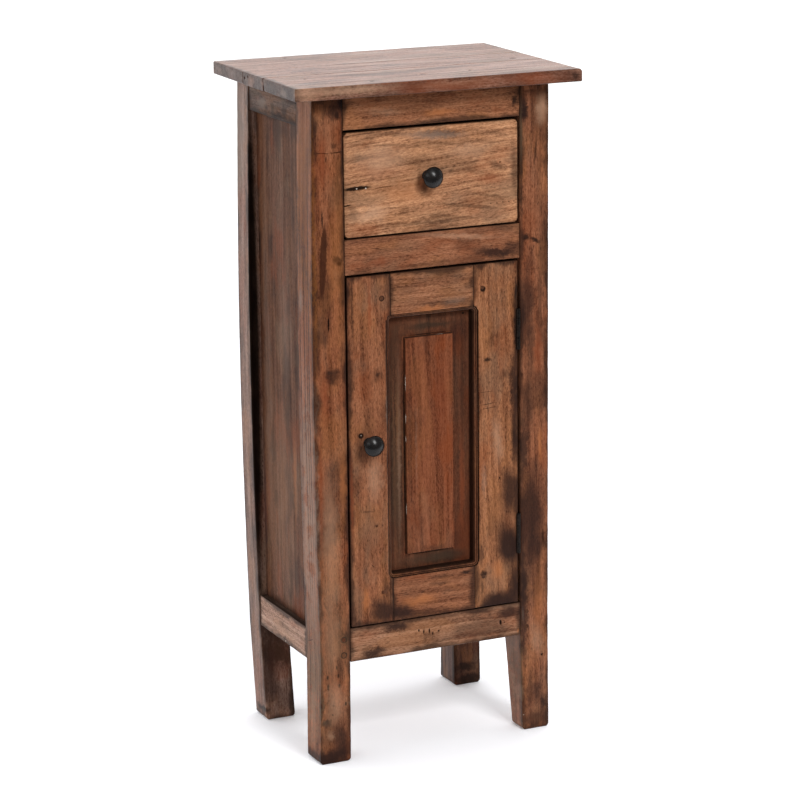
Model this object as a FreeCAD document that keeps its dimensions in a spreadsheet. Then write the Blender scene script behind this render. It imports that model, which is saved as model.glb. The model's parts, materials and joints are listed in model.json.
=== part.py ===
import FreeCAD, Part
import math
import os
import re
import Sketcher

# Telephone table in reclaimed teak: four square posts that run down as legs, rails
# tenoned between them, panelled sides and back, one drawer over one hinged door, and
# a wide board top. +X is to the right seen from the front, +Y goes into the depth and
# +Z up. The origin is on the floor, under the middle of the top. Sizes are in mm.

sizes = {
    # Top: three boards glued edge to edge, set on the frame slightly askew.
    "side_overhang": 31.5,
    "front_overhang": 36,
    "back_overhang": 9,
    "top_thick": 17,
    "top_turn": 1.4,
    "top_back_board": 111,
    "top_middle_board": 70,
    "top_corner_radius": 9,
    "top_easing": 2,
    # Frame, outside sizes and the heights of its openings.
    "body_width": 334,
    "body_depth": 247,
    "leg_height": 136,
    "bottom_rail_height": 46,
    "door_opening_height": 470,
    "middle_rail_height": 46,
    "drawer_opening_height": 140,
    "top_rail_height": 45,
    # Posts. Each hand-cut foot is drawn in, or out where the number is negative,
    # by these amounts on its left, right, front and rear face.
    "post_width": 42,
    "front_post_depth": 50,
    "back_post_depth": 40,
    "post_easing": 2,
    "front_left_foot_left": 0,
    "front_left_foot_right": 1,
    "front_left_foot_front": 0,
    "front_left_foot_rear": 5,
    "front_right_foot_left": 4,
    "front_right_foot_right": -1.5,
    "front_right_foot_front": 1,
    "front_right_foot_rear": 16,
    "back_left_foot_left": 2.5,
    "back_left_foot_right": -1.5,
    "back_left_foot_front": -14,
    "back_left_foot_rear": 15,
    "back_right_foot_left": 0.5,
    "back_right_foot_right": 0.5,
    "back_right_foot_front": -3,
    "back_right_foot_rear": -4,
    # Rails and their tenons.
    "rail_thick": 22,
    "rail_recess": 1,
    "side_rail_thick": 20,
    "side_rail_height": 43,
    "side_rail_recess": 0.6,
    "side_rail_drop": 3,
    "rail_easing": 1,
    "tenon_length": 25,
    "tenon_thick": 8,
    "tenon_shoulder": 6,
    # Panels let into grooves.
    "panel_thick": 8,
    "panel_recess": 10,
    "panel_tongue": 5,
    # Cabinet floor and the strips that carry it.
    "floor_thick": 10,
    "floor_drop": 3,
    "floor_cleat": 18,
    # Strips that the drawer slides on and under, and strips that hold the top.
    "runner_reach": 22,
    "runner_bearing": 12,
    "runner_height": 20,
    "runner_guide_rise": 14,
    "kicker_height": 16,
    "kicker_gap": 2.5,
    "top_cleat": 22,
    "drawer_stop_depth": 8,
    "drawer_stop_clear": 10.7,
    # Pegs and screws.
    "peg_radius": 3,
    "peg_length": 26,
    "peg_inset": 9.5,
    "peg_spread": 10.5,
    "peg_drop": 1.5,
    "screw_radius": 2,
    "screw_head_radius": 4,
    "screw_head_height": 2.2,
    "runner_screw_length": 32,
    "top_screw_length": 33,
    # Drawer.
    "drawer_gap_left": 1,
    "drawer_gap_right": 2.8,
    "drawer_gap_above": 3.4,
    "drawer_gap_below": 2,
    "drawer_front_thick": 20,
    "drawer_corner_radius": 6,
    "drawer_front_easing": 2,
    "drawer_side_gap": 5.5,
    "drawer_side_thick": 12,
    "drawer_side_height": 132,
    "drawer_side_housing": 8,
    "drawer_back_thick": 10,
    "drawer_back_inset": 4,
    "drawer_bottom_thick": 6,
    "drawer_bottom_rise": 8,
    "drawer_bottom_groove": 5,
    "drawer_guide_gap": 1,
    "running_gap": 0.3,
    "nail_radius": 0.9,
    "nail_length": 28,
    # Door.
    "door_gap_left": 2.5,
    "door_gap_right": 3.4,
    "door_gap_above": 3,
    "door_gap_below": 1.5,
    "door_thick": 25,
    "door_left_stile": 61,
    "door_right_stile": 64,
    "door_top_rail": 60,
    "door_bottom_rail": 64.5,
    "door_easing": 1.2,
    "door_tenon_length": 35,
    "door_tenon_thick": 8,
    "door_tenon_shoulder": 8,
    "moulding_width": 6,
    "moulding_radius": 5,
    "moulding_step": 1,
    "moulding_corner": 8,
    "door_panel_depth": 15,
    "door_panel_thick": 6,
    "door_panel_tongue": 6,
    "field_margin_sides": 24.3,
    "field_margin_above": 28.5,
    "field_margin_below": 19.5,
    "field_height": 4.5,
    "field_bevel": 3,
    "door_peg_radius": 2.6,
    "door_peg_length": 20,
    "door_peg_inset": 12.5,
    "door_peg_above": 29,
    "door_peg_below": 22.5,
    # Turned knobs, drawer and door alike.
    "knob_base_radius": 7.4,
    "knob_stem_radius": 6.2,
    "knob_head_radius": 14,
    "knob_base_height": 2,
    "knob_stem_top": 8,
    "knob_rim_low": 17.5,
    "knob_rim_high": 19.5,
    "knob_projection": 27,
    "knob_screw_depth": 14,
    "knob_screw_head_radius": 4.5,
    "knob_screw_head_height": 2.6,
    "drawer_knob_left": 7,
    "drawer_knob_rise": 4.5,
    "door_knob_inset": 27.5,
    "door_knob_rise": 13,
    # Butt hinges.
    "hinge_length": 52.5,
    "hinge_from_top": 65,
    "hinge_from_bottom": 69.5,
    "knuckle_radius": 2.8,
    "knuckle_gap": 0.4,
    "knuckle_end_gap": 0.3,
    "knuckle_notch_gap": 0.6,
    "pin_radius": 1.5,
    "pin_clearance": 0.05,
    "pin_head_radius": 2.3,
    "pin_head_height": 1.2,
    "leaf_thick": 1.2,
    "leaf_width": 18,
    "hinge_screw_radius": 1.4,
    "hinge_screw_head_radius": 2.6,
    "hinge_screw_length": 15,
    # Magnetic catch behind the door's free edge.
    "catch_thick": 12,
    "catch_length": 14,
    "catch_height": 40,
    "catch_gap": 0.3,
    "catch_screw_length": 22,
    "strike_thick": 1,
    "strike_width": 8,
    "strike_screw_length": 13,
    # Cutters reach past what they cut by this much.
    "overrun": 2,
}

places = {
    # Planes of the top and the frame.
    "top_width": "body_width + 2 * side_overhang",
    "top_depth": "body_depth + front_overhang + back_overhang",
    "front_face": "front_overhang - top_depth / 2",
    "back_face": "front_face + body_depth",
    "post_outer": "body_width / 2",
    "post_inner": "post_outer - post_width",
    "front_post_back": "front_face + front_post_depth",
    "back_post_front": "back_face - back_post_depth",
    "bottom_rail_top": "leg_height + bottom_rail_height",
    "middle_rail_low": "bottom_rail_top + door_opening_height",
    "middle_rail_top": "middle_rail_low + middle_rail_height",
    "top_rail_low": "middle_rail_top + drawer_opening_height",
    "frame_top": "top_rail_low + top_rail_height",
    "front_rail_front": "front_face + rail_recess",
    "front_rail_back": "front_rail_front + rail_thick",
    "back_rail_back": "back_face - rail_recess",
    "back_rail_front": "back_rail_back - side_rail_thick",
    "side_rail_low": "leg_height - side_rail_drop",
    "side_rail_top": "side_rail_low + side_rail_height",
    "side_upper_rail_low": "frame_top - side_rail_height",
    "side_rail_outer": "post_outer - side_rail_recess",
    "side_rail_inner": "side_rail_outer - side_rail_thick",
    "side_rail_length": "back_post_front - front_post_back",
    "side_rail_middle": "(back_post_front + front_post_back) / 2",
    "side_panel_outer": "post_outer - panel_recess",
    "side_panel_inner": "side_panel_outer - panel_thick",
    "back_panel_back": "back_face - panel_recess",
    "back_panel_front": "back_panel_back - panel_thick",
    # Inside the cabinet.
    "floor_top": "bottom_rail_top - floor_drop",
    "floor_low": "floor_top - floor_thick",
    "drawer_stop_back": "back_panel_front - drawer_stop_clear",
    "runner_top": "middle_rail_top",
    "runner_low": "runner_top - runner_height",
    "runner_inner": "post_inner - runner_reach",
    "runner_outer": "post_inner + runner_bearing",
    "guide_face": "drawer_side_outer + drawer_guide_gap",
    "kicker_low": "drawer_side_top + kicker_gap",
    "top_cleat_low": "frame_top - top_cleat",
    "top_cleat_inner": "side_rail_inner - top_cleat",
    "runner_screw_front": "(front_rail_back + front_post_back) / 2",
    "runner_screw_back": "(back_post_front + back_panel_front) / 2",
    # Drawer.
    "drawer_left": "drawer_gap_left - post_inner",
    "drawer_right": "post_inner - drawer_gap_right",
    "drawer_low": "middle_rail_top + drawer_gap_below",
    "drawer_top": "top_rail_low - drawer_gap_above",
    "drawer_front_back": "front_rail_front + drawer_front_thick",
    "drawer_side_front": "drawer_front_back - drawer_side_housing",
    "drawer_side_back": "drawer_stop_back - drawer_stop_depth - running_gap",
    "drawer_side_low": "runner_top + running_gap",
    "drawer_side_top": "drawer_side_low + drawer_side_height",
    "drawer_side_outer": "post_inner - drawer_side_gap",
    "drawer_side_inner": "drawer_side_outer - drawer_side_thick",
    "drawer_bottom_low": "drawer_side_low + drawer_bottom_rise",
    "drawer_bottom_top": "drawer_bottom_low + drawer_bottom_thick",
    "drawer_back_back": "drawer_side_back - drawer_back_inset",
    "drawer_back_front": "drawer_back_back - drawer_back_thick",
    "drawer_knob_x": "(drawer_left + drawer_right) / 2 - drawer_knob_left",
    "drawer_knob_z": "(drawer_low + drawer_top) / 2 + drawer_knob_rise",
    # Door.
    "door_left": "door_gap_left - post_inner",
    "door_right": "post_inner - door_gap_right",
    "door_low": "bottom_rail_top + door_gap_below",
    "door_top": "middle_rail_low - door_gap_above",
    "door_front": "front_rail_front",
    "door_back": "door_front + door_thick",
    "opening_left": "door_left + door_left_stile",
    "opening_right": "door_right - door_right_stile",
    "opening_low": "door_low + door_bottom_rail",
    "opening_top": "door_top - door_top_rail",
    "opening_middle": "(opening_left + opening_right) / 2",
    "door_panel_front": "door_front + door_panel_depth",
    "door_knob_x": "door_left + door_knob_inset",
    "door_knob_z": "(door_low + door_top) / 2 + door_knob_rise",
    # Hinges, about the pin.
    "hinge_x": "post_inner - knuckle_gap - knuckle_radius",
    "hinge_y": "front_face",
    "upper_hinge_low": "door_top - hinge_from_top - hinge_length",
    "lower_hinge_low": "door_low + hinge_from_bottom",
    "leaf_start": "knuckle_radius + knuckle_gap",
    "post_leaf_inner": "post_inner - leaf_thick - hinge_x",
    "door_leaf_inner": "door_right - leaf_thick - hinge_x",
    "knuckle_share": "hinge_length / 4",
    # Catch.
    "strike_left": "catch_gap + door_left",
    "strike_back": "door_back + strike_thick",
    "catch_front": "strike_back + catch_gap",
    "catch_low": "(door_low + door_top) / 2 - catch_height / 2",
}

doc = FreeCAD.newDocument("telephone_table")
sheet = doc.addObject("Spreadsheet::Sheet", "Sizes")
for row, (alias, value) in enumerate(sizes.items(), start=1):
    sheet.set("A%d" % row, alias)
    sheet.set("B%d" % row, str(value))
    sheet.setAlias("B%d" % row, alias)
doc.recompute()

nodes = []


def formula(text):
    """Writes a formula in named sizes and places out in the sheet's cells."""
    def written_out(match):
        word = match.group()
        if word in places:
            return "(" + formula(places[word]) + ")"
        if word in sizes:
            return "Sizes." + word
        raise KeyError(word)
    return re.sub(r"[a-z_]+", written_out, text)


def amount(text):
    """The present value of a formula, to sketch with before its constraints take over."""
    return float(sheet.evalExpression(formula(text)))


def bind(part, target, text):
    part.setExpression(target, formula(text))


def place(part, x, y, z):
    for axis, text in zip("xyz", (x, y, z)):
        bind(part, "Placement.Base." + axis, text)


def keep(part):
    nodes.append(part)
    return part


def mirrored(side, near, far):
    """A span of X from near to far, on the right for side 1 and on the left for side -1."""
    if side > 0:
        return near, far
    return signed(side, far), signed(side, near)


def signed(side, x):
    """A place on the right for side 1, and as far to the left for side -1."""
    return x if side > 0 else "-(%s)" % x


# Sketches and features

def new_body(label):
    body = doc.addObject("PartDesign::Body", label)
    body.Label = label
    return body


def new_sketch(body, name, plane, offset="0"):
    sketch = body.newObject("Sketcher::SketchObject", body.Label + "_" + name)
    support = [feature for feature in body.Origin.OriginFeatures if feature.Role == plane][0]
    sketch.AttachmentSupport = [(support, "")]
    sketch.MapMode = "FlatFace"
    bind(sketch, "AttachmentOffset.Base.z", offset)
    return sketch


def pin_point(sketch, line, end, x, y):
    """Holds one end of a line, or a centre, at the point x, y of its sketch."""
    for kind, text in (("DistanceX", x), ("DistanceY", y)):
        hold(sketch, Sketcher.Constraint(kind, -1, 1, line, end, amount(text)), text)


def hold(sketch, constraint, text):
    index = sketch.addConstraint(constraint)
    bind(sketch, "Constraints[%d]" % index, text)


def polygon(sketch, points):
    """A closed outline through points given as pairs of formulas."""
    count = len(points)
    corners = [FreeCAD.Vector(amount(x), amount(y), 0) for x, y in points]
    for index in range(count):
        sketch.addGeometry(Part.LineSegment(corners[index], corners[(index + 1) % count]))
    for index in range(count):
        sketch.addConstraint(Sketcher.Constraint("Coincident", index, 2, (index + 1) % count, 1))
    for index, (x, y) in enumerate(points):
        pin_point(sketch, index, 1, x, y)
    return sketch


def rectangle(sketch, x_low, y_low, x_high, y_high):
    return polygon(sketch, [(x_low, y_low), (x_high, y_low), (x_high, y_high), (x_low, y_high)])


def rounded_rectangle(sketch, x_low, y_low, x_high, y_high, radius):
    """Four lines joined by four arcs; the lines are 0, 2, 4 and 6, from the low edge on."""
    points = [(x_low, y_low), (x_high, y_low), (x_high, y_high), (x_low, y_high)]
    corners = [FreeCAD.Vector(amount(x), amount(y), 0) for x, y in points]
    size = amount(radius)
    for index in range(4):
        start = corners[index]
        end = corners[(index + 1) % 4]
        along = (end - start).normalize() * size
        across = FreeCAD.Vector(-along.y, along.x, 0)
        sketch.addGeometry(Part.LineSegment(start + along, end - along))
        ring = Part.Circle(end - along + across, FreeCAD.Vector(0, 0, 1), size)
        turn = math.atan2(-across.y, -across.x)
        sketch.addGeometry(Part.ArcOfCircle(ring, turn, turn + math.pi / 2))
    for index in range(0, 8, 2):
        sketch.addConstraint(Sketcher.Constraint("Tangent", index, 2, index + 1, 1))
        sketch.addConstraint(Sketcher.Constraint("Tangent", index + 1, 2, (index + 2) % 8, 1))
    for index in (0, 4):
        sketch.addConstraint(Sketcher.Constraint("Horizontal", index))
    for index in (2, 6):
        sketch.addConstraint(Sketcher.Constraint("Vertical", index))
    for index in (3, 5, 7):
        sketch.addConstraint(Sketcher.Constraint("Equal", 1, index))
    for kind, line, text in (("DistanceY", 0, y_low), ("DistanceX", 2, x_high),
                             ("DistanceY", 4, y_high), ("DistanceX", 6, x_low)):
        hold(sketch, Sketcher.Constraint(kind, -1, 1, line, 1, amount(text)), text)
    hold(sketch, Sketcher.Constraint("Radius", 1, size), radius)
    return sketch


def circle(sketch, radius):
    """A circle about the sketch's origin."""
    size = amount(radius)
    sketch.addGeometry(Part.Circle(FreeCAD.Vector(0, 0, 0), FreeCAD.Vector(0, 0, 1), size))
    sketch.addConstraint(Sketcher.Constraint("Coincident", 0, 3, -1, 1))
    hold(sketch, Sketcher.Constraint("Radius", 0, size), radius)
    return sketch


def pad(sketch, length, reverse=False, symmetric=False):
    body = sketch.getParentGeoFeatureGroup()
    feature = body.newObject("PartDesign::Pad", sketch.Name + "_pad")
    feature.Profile = sketch
    feature.Reversed = reverse
    if symmetric:
        feature.SideType = "Symmetric"
    bind(feature, "Length", length)
    doc.recompute()
    return feature


def edge_names(shape, wanted):
    return ["Edge%d" % (index + 1) for index, edge in enumerate(shape.Edges) if wanted(edge)]


def runs_along(axis):
    """Tells whether an edge runs along the axis, named x, y or z."""
    def wanted(edge):
        run = edge.Vertexes[-1].Point - edge.Vertexes[0].Point
        return len(edge.Vertexes) == 2 and abs(getattr(run, axis)) > run.Length * 0.999
    return wanted


def round_edges(feature, wanted, radius):
    body = feature.getParentGeoFeatureGroup()
    fillet = body.newObject("PartDesign::Fillet", feature.Name + "_eased")
    fillet.Base = (feature, edge_names(feature.Shape, wanted))
    bind(fillet, "Radius", radius)
    doc.recompute()
    return fillet


def fused(parts, label):
    if len(parts) == 1:
        return parts[0]
    union = doc.addObject("Part::MultiFuse", label)
    union.Shapes = parts
    return union


def cut(label, blank, tools):
    """The blank less what is let into it or bored through it, as one named piece."""
    result = doc.addObject("Part::Cut", label)
    result.Label = label
    result.Base = blank
    result.Tool = fused(tools, label + "_cutters")
    result.Refine = True
    doc.recompute()
    return keep(result)


def group(label, parts):
    """Like fasteners in one named group of separate solids."""
    result = doc.addObject("Part::Compound", label)
    result.Label = label
    result.Links = parts
    doc.recompute()
    return keep(result)


def board(label, x, y, z, easing=None):
    """A straight board between pairs of formulas along X, Y and Z."""
    body = new_body(label)
    outline = new_sketch(body, "outline", "XY_Plane")
    width = "(%s) - (%s)" % (x[1], x[0])
    depth = "(%s) - (%s)" % (y[1], y[0])
    rectangle(outline, "0", "0", width, depth)
    block = pad(outline, "(%s) - (%s)" % (z[1], z[0]))
    if easing:
        round_edges(block, lambda edge: True, easing)
    place(body, x[0], y[0], z[0])
    return body


def rail(label, length, thick, height, tenon, easing):
    """A rail along local X, centred, with a tenon at each end; tenon is length, thickness, shoulder."""
    body = new_body(label)
    section = new_sketch(body, "section", "YZ_Plane")
    rectangle(section, "0", "0", thick, height)
    bar = pad(section, length, symmetric=True)
    round_edges(bar, runs_along("x"), easing)
    tenon_length, tenon_thick, shoulder = tenon
    tenon_section = new_sketch(body, "tenon", "YZ_Plane")
    inset = "((%s) - (%s)) / 2" % (thick, tenon_thick)
    rectangle(tenon_section, inset, shoulder, "%s + %s" % (inset, tenon_thick),
              "%s - %s" % (height, shoulder))
    pad(tenon_section, "%s + 2 * %s" % (length, tenon_length), symmetric=True)
    return body


def turned(label, profile):
    """A solid turned about local Z from pairs of radius and height."""
    body = new_body(label)
    outline = new_sketch(body, "profile", "XZ_Plane")
    polygon(outline, profile)
    spun = body.newObject("PartDesign::Revolution", label + "_turned")
    spun.Profile = outline
    spun.ReferenceAxis = (outline, ["V_Axis"])
    doc.recompute()
    return body


def point_along(part, direction):
    """Turns a part so that its local Z points along the direction."""
    part.Placement.Rotation = FreeCAD.Rotation(FreeCAD.Vector(0, 0, 1), direction)


def screw(label, radius, head_radius, head_height, length, at, direction):
    """A countersunk screw whose head's flat face lies at the point, driven along the direction."""
    part = turned(label, [("0", "0"), (head_radius, "0"), (radius, head_height),
                          (radius, length), ("0", length)])
    point_along(part, direction)
    place(part, *at)
    return part


def dowel(label, radius, length, at, direction):
    """A plain round peg or nail from the point, driven along the direction."""
    part = doc.addObject("Part::Cylinder", label)
    bind(part, "Radius", radius)
    bind(part, "Height", length)
    point_along(part, direction)
    place(part, *at)
    return part


left_right = (("left", -1), ("right", 1))
into = FreeCAD.Vector(0, 1, 0)
outward = FreeCAD.Vector(0, -1, 0)
upward = FreeCAD.Vector(0, 0, 1)
frame_tenon = ("tenon_length", "tenon_thick", "tenon_shoulder")

# Frame rails. Front rails sit just behind the posts' front faces, side and back rails
# just inside their outer faces; side and back rails are grooved for their panels. Two
# pegs go through each tenon of the front bottom rail.


def front_rail(label, low, height):
    bar = rail(label, "2 * post_inner", "rail_thick", height, frame_tenon, "rail_easing")
    place(bar, "0", "front_rail_front", low)
    return bar


frame_pegs = []
for name, side in left_right:
    for rise in ("-peg_spread", "peg_spread"):
        x = "post_inner + peg_inset"
        frame_pegs.append(dowel("frame_peg", "peg_radius", "peg_length",
                                (signed(side, x), "front_face",
                                 "leg_height + bottom_rail_height / 2 - peg_drop + " + rise), into))
frame_pegs = group("frame_pegs", frame_pegs)
front_rails = [keep(front_rail("front_top_rail", "top_rail_low", "top_rail_height")),
               keep(front_rail("front_middle_rail", "middle_rail_low", "middle_rail_height")),
               cut("front_bottom_rail",
                   front_rail("front_bottom_rail_blank", "leg_height", "bottom_rail_height"),
                   [frame_pegs])]

side_panels = {}
side_rails = {}
for name, side in left_right:
    inner, outer = mirrored(side, "side_panel_inner", "side_panel_outer")
    panel = keep(board(name + "_side_panel", (inner, outer),
                       ("front_post_back - panel_tongue", "back_post_front + panel_tongue"),
                       ("side_rail_top - panel_tongue", "side_upper_rail_low + panel_tongue")))
    side_panels[side] = panel
    side_rails[side] = []
    for level, low in (("top", "side_upper_rail_low"), ("bottom", "side_rail_low")):
        blank = rail("%s_%s_rail_blank" % (name, level), "side_rail_length", "side_rail_thick",
                     "side_rail_height", frame_tenon, "rail_easing")
        blank.Placement.Rotation = FreeCAD.Rotation(upward, 90)
        place(blank, mirrored(side, "side_rail_inner", "side_rail_outer")[1],
              "side_rail_middle", low)
        side_rails[side].append(cut("%s_%s_rail" % (name, level), blank, [panel]))

back_panel = keep(board("back_panel",
                        ("-post_inner - panel_tongue", "post_inner + panel_tongue"),
                        ("back_panel_front", "back_panel_back"),
                        ("bottom_rail_top - panel_tongue", "top_rail_low + panel_tongue")))
back_rails = []
for name, low, height in (("top", "top_rail_low", "top_rail_height"),
                          ("bottom", "leg_height", "bottom_rail_height")):
    blank = rail("back_%s_rail_blank" % name, "2 * post_inner", "side_rail_thick", height,
                 frame_tenon, "rail_easing")
    place(blank, "0", "back_rail_front", low)
    back_rails.append(cut("back_%s_rail" % name, blank, [back_panel]))


# Posts

def post(name, side, front_back):
    """A straight post down to the rails, then a leg that runs to its own hand-cut foot."""
    depth = front_back + "_post_depth"
    foot = "%s_%s_foot_" % (front_back, name)
    body = new_body("%s_%s_post_blank" % (front_back, name))
    ground = new_sketch(body, "foot", "XY_Plane")
    rounded_rectangle(ground, foot + "left", foot + "front", "post_width - %sright" % foot,
                      "%s - %srear" % (depth, foot), "post_easing")
    knee = new_sketch(body, "knee", "XY_Plane", "leg_height - side_rail_drop")
    rounded_rectangle(knee, "0", "0", "post_width", depth, "post_easing")
    leg = body.newObject("PartDesign::AdditiveLoft", body.Label + "_leg")
    leg.Profile = ground
    leg.Sections = [knee]
    leg.Ruled = True
    doc.recompute()
    pad(knee, "frame_top - leg_height + side_rail_drop")
    y = "front_face" if front_back == "front" else "back_post_front"
    place(body, mirrored(side, "post_inner", "post_outer")[0], y, "0")
    return body


posts = {}
for name, side in left_right:
    for front_back in ("front", "back"):
        posts[side, front_back] = post(name, side, front_back)

# Runners under the drawer and kickers over it, notched round the posts and screwed to
# them. A runner is L-shaped, and its upright part guides the drawer's side.

runner_screws = []
runners = {}
kickers = {}
for name, side in left_right:
    for height in ("runner_low + runner_height / 2", "kicker_low + kicker_height / 2"):
        for y in ("runner_screw_front", "runner_screw_back"):
            runner_screws.append(screw("runner_screw", "screw_radius", "screw_head_radius",
                                       "screw_head_height", "runner_screw_length",
                                       (signed(side, "runner_inner"), y, height),
                                       FreeCAD.Vector(side, 0, 0)))
    body = new_body(name + "_runner_blank")
    section = new_sketch(body, "section", "XZ_Plane")
    guide_top = "runner_height + runner_guide_rise"
    corners = [("runner_inner", "0"), ("runner_outer", "0"), ("runner_outer", guide_top),
               ("guide_face", guide_top), ("guide_face", "runner_height"),
               ("runner_inner", "runner_height")]
    polygon(section, [(signed(side, x), z) for x, z in corners])
    pad(section, "back_panel_front - front_rail_back", reverse=True)
    place(body, "0", "front_rail_back", "runner_low")
    runners[side] = body
    kickers[side] = board(name + "_kicker_blank",
                          mirrored(side, "runner_inner", "runner_outer"),
                          ("front_rail_back", "back_rail_front"),
                          ("kicker_low", "kicker_low + kicker_height"))
runner_screws = group("runner_screws", runner_screws)
for name, side in left_right:
    side_posts = [posts[side, "front"], posts[side, "back"]]
    cut(name + "_runner", runners[side], side_posts + [runner_screws])
    cut(name + "_kicker", kickers[side], side_posts + [runner_screws])

stops = []
for name, side in left_right:
    stops.append(board(name + "_drawer_stop", mirrored(side, "runner_inner", "guide_face"),
                       ("drawer_stop_back - drawer_stop_depth", "drawer_stop_back"),
                       ("runner_top", "runner_top + runner_guide_rise")))
group("drawer_stops", stops)

# Cabinet floor, notched round the posts, on a cleat along each side.

floor_blank = board("cabinet_floor_blank", ("-side_rail_inner", "side_rail_inner"),
                    ("front_rail_back", "back_rail_front"), ("floor_low", "floor_top"))
cut("cabinet_floor", floor_blank, list(posts.values()))
for name, side in left_right:
    keep(board(name + "_floor_cleat",
               mirrored(side, "side_rail_inner - floor_cleat", "side_rail_inner"),
               ("front_post_back", "back_post_front"), ("floor_low - floor_cleat", "floor_low")))

# Magnetic catch, screwed to the left post, and its strike on the back of the door.

catch_screws = []
for share in (1 / 4, 3 / 4):
    catch_screws.append(screw("catch_screw", "hinge_screw_radius", "hinge_screw_head_radius",
                              "leaf_thick", "catch_screw_length",
                              ("catch_thick - post_inner", "catch_front + catch_length / 2",
                               "catch_low + catch_height * %s" % share),
                              FreeCAD.Vector(-1, 0, 0)))
catch_screws = group("catch_screws", catch_screws)
catch_blank = board("catch_magnet_blank", ("-post_inner", "catch_thick - post_inner"),
                    ("catch_front", "catch_front + catch_length"),
                    ("catch_low", "catch_low + catch_height"))
cut("catch_magnet", catch_blank, [catch_screws])
strike_screw = keep(screw("strike_screw", "hinge_screw_radius", "hinge_screw_head_radius",
                          "strike_thick", "strike_screw_length",
                          ("strike_left + strike_width / 2", "strike_back",
                           "catch_low + catch_height / 2"), outward))
strike_blank = board("catch_strike_blank", ("strike_left", "strike_left + strike_width"),
                     ("door_back", "strike_back"), ("catch_low", "catch_low + catch_height"))
catch_strike = cut("catch_strike", strike_blank, [strike_screw])


# Butt hinges: the post leaf has the two outer knuckles and the door leaf the middle one.

def leaf(label, inner, knuckles):
    """A hinge leaf about its pin, its plate from inner outwards and running back along Y."""
    body = new_body(label)
    plate = new_sketch(body, "plate", "XY_Plane")
    outer = "%s + leaf_thick" % inner
    rectangle(plate, inner, "leaf_start", outer, "leaf_start + leaf_width")
    pad(plate, "hinge_length")
    for index, (low, high) in enumerate(knuckles):
        neck = new_sketch(body, "neck%d" % index, "XY_Plane", low)
        rectangle(neck, inner, "0", outer, "leaf_start")
        pad(neck, "(%s) - (%s)" % (high, low))
        barrel = new_sketch(body, "barrel%d" % index, "XY_Plane", low)
        circle(barrel, "knuckle_radius")
        pad(barrel, "(%s) - (%s)" % (high, low))
    bore = new_sketch(body, "bore", "XY_Plane")
    circle(bore, "pin_radius + pin_clearance")
    before = body.Shape.Volume
    drilled = body.newObject("PartDesign::Pocket", label + "_bore")
    drilled.Profile = bore
    drilled.Reversed = True
    bind(drilled, "Length", "hinge_length")
    doc.recompute()
    if not body.Shape.Volume < before:
        raise RuntimeError(label + " has no bore")
    return body


outer_knuckles = [("0", "knuckle_share - knuckle_end_gap / 2"),
                  ("hinge_length - knuckle_share + knuckle_end_gap / 2", "hinge_length")]
middle_knuckle = [("knuckle_share + knuckle_end_gap / 2",
                   "hinge_length - knuckle_share - knuckle_end_gap / 2")]

post_leaves = []
door_leaves = []
post_screws = []
door_screws = []
knuckle_notches = []
for name in ("upper", "lower"):
    low = name + "_hinge_low"
    post_leaf = leaf(name + "_hinge_post_leaf_blank", "post_leaf_inner", outer_knuckles)
    door_leaf = leaf(name + "_hinge_door_leaf_blank", "door_leaf_inner", middle_knuckle)
    pin = turned(name + "_hinge_pin",
                 [("0", "-pin_head_height"), ("pin_head_radius", "-pin_head_height"),
                  ("pin_head_radius", "0"), ("pin_radius", "0"), ("pin_radius", "hinge_length"),
                  ("pin_head_radius", "hinge_length"),
                  ("pin_head_radius", "hinge_length + pin_head_height"),
                  ("0", "hinge_length + pin_head_height")])
    for part in (post_leaf, door_leaf, pin):
        place(part, "hinge_x", "hinge_y", low)
    keep(pin)
    post_leaves.append(post_leaf)
    door_leaves.append(door_leaf)
    for share in (1 / 6, 1 / 2, 5 / 6):
        height = "%s + hinge_length * %s" % (low, share)
        middle = "hinge_y + leaf_start + leaf_width / 2"
        for face, way, screws in (("post_leaf_inner", 1, post_screws),
                                  ("door_leaf_inner + leaf_thick", -1, door_screws)):
            screws.append(screw("hinge_screw", "hinge_screw_radius", "hinge_screw_head_radius",
                                "leaf_thick", "hinge_screw_length",
                                ("hinge_x + " + face, middle, height),
                                FreeCAD.Vector(way, 0, 0)))
    notch = board(name + "_knuckle_notch",
                  ("hinge_x - knuckle_radius - knuckle_notch_gap", "post_inner"),
                  ("door_front - overrun", "hinge_y + knuckle_radius + knuckle_notch_gap"),
                  (low + " - pin_head_height - knuckle_notch_gap",
                   low + " + hinge_length + pin_head_height + knuckle_notch_gap"))
    knuckle_notches.append(notch)
post_screws = group("hinge_post_screws", post_screws)
door_screws = group("hinge_door_screws", door_screws)
post_leaves = [cut(blank.Label.replace("_blank", ""), blank, [post_screws])
               for blank in post_leaves]
door_leaves = [cut(blank.Label.replace("_blank", ""), blank, [door_screws])
               for blank in door_leaves]

# The posts, with a mortise or groove for all that is let into them.

for name, side in left_right:
    let_in = front_rails + side_rails[side] + [side_panels[side], frame_pegs, runner_screws]
    if side > 0:
        let_in += [post_screws]
    else:
        let_in += [catch_screws]
    cut("front_%s_post" % name, posts[side, "front"], let_in)
    let_in = back_rails + side_rails[side] + [side_panels[side], back_panel, runner_screws]
    cut("back_%s_post" % name, posts[side, "back"], let_in)

# Top: boards along X, screwed from below through a cleat on each side's top rail.

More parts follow.
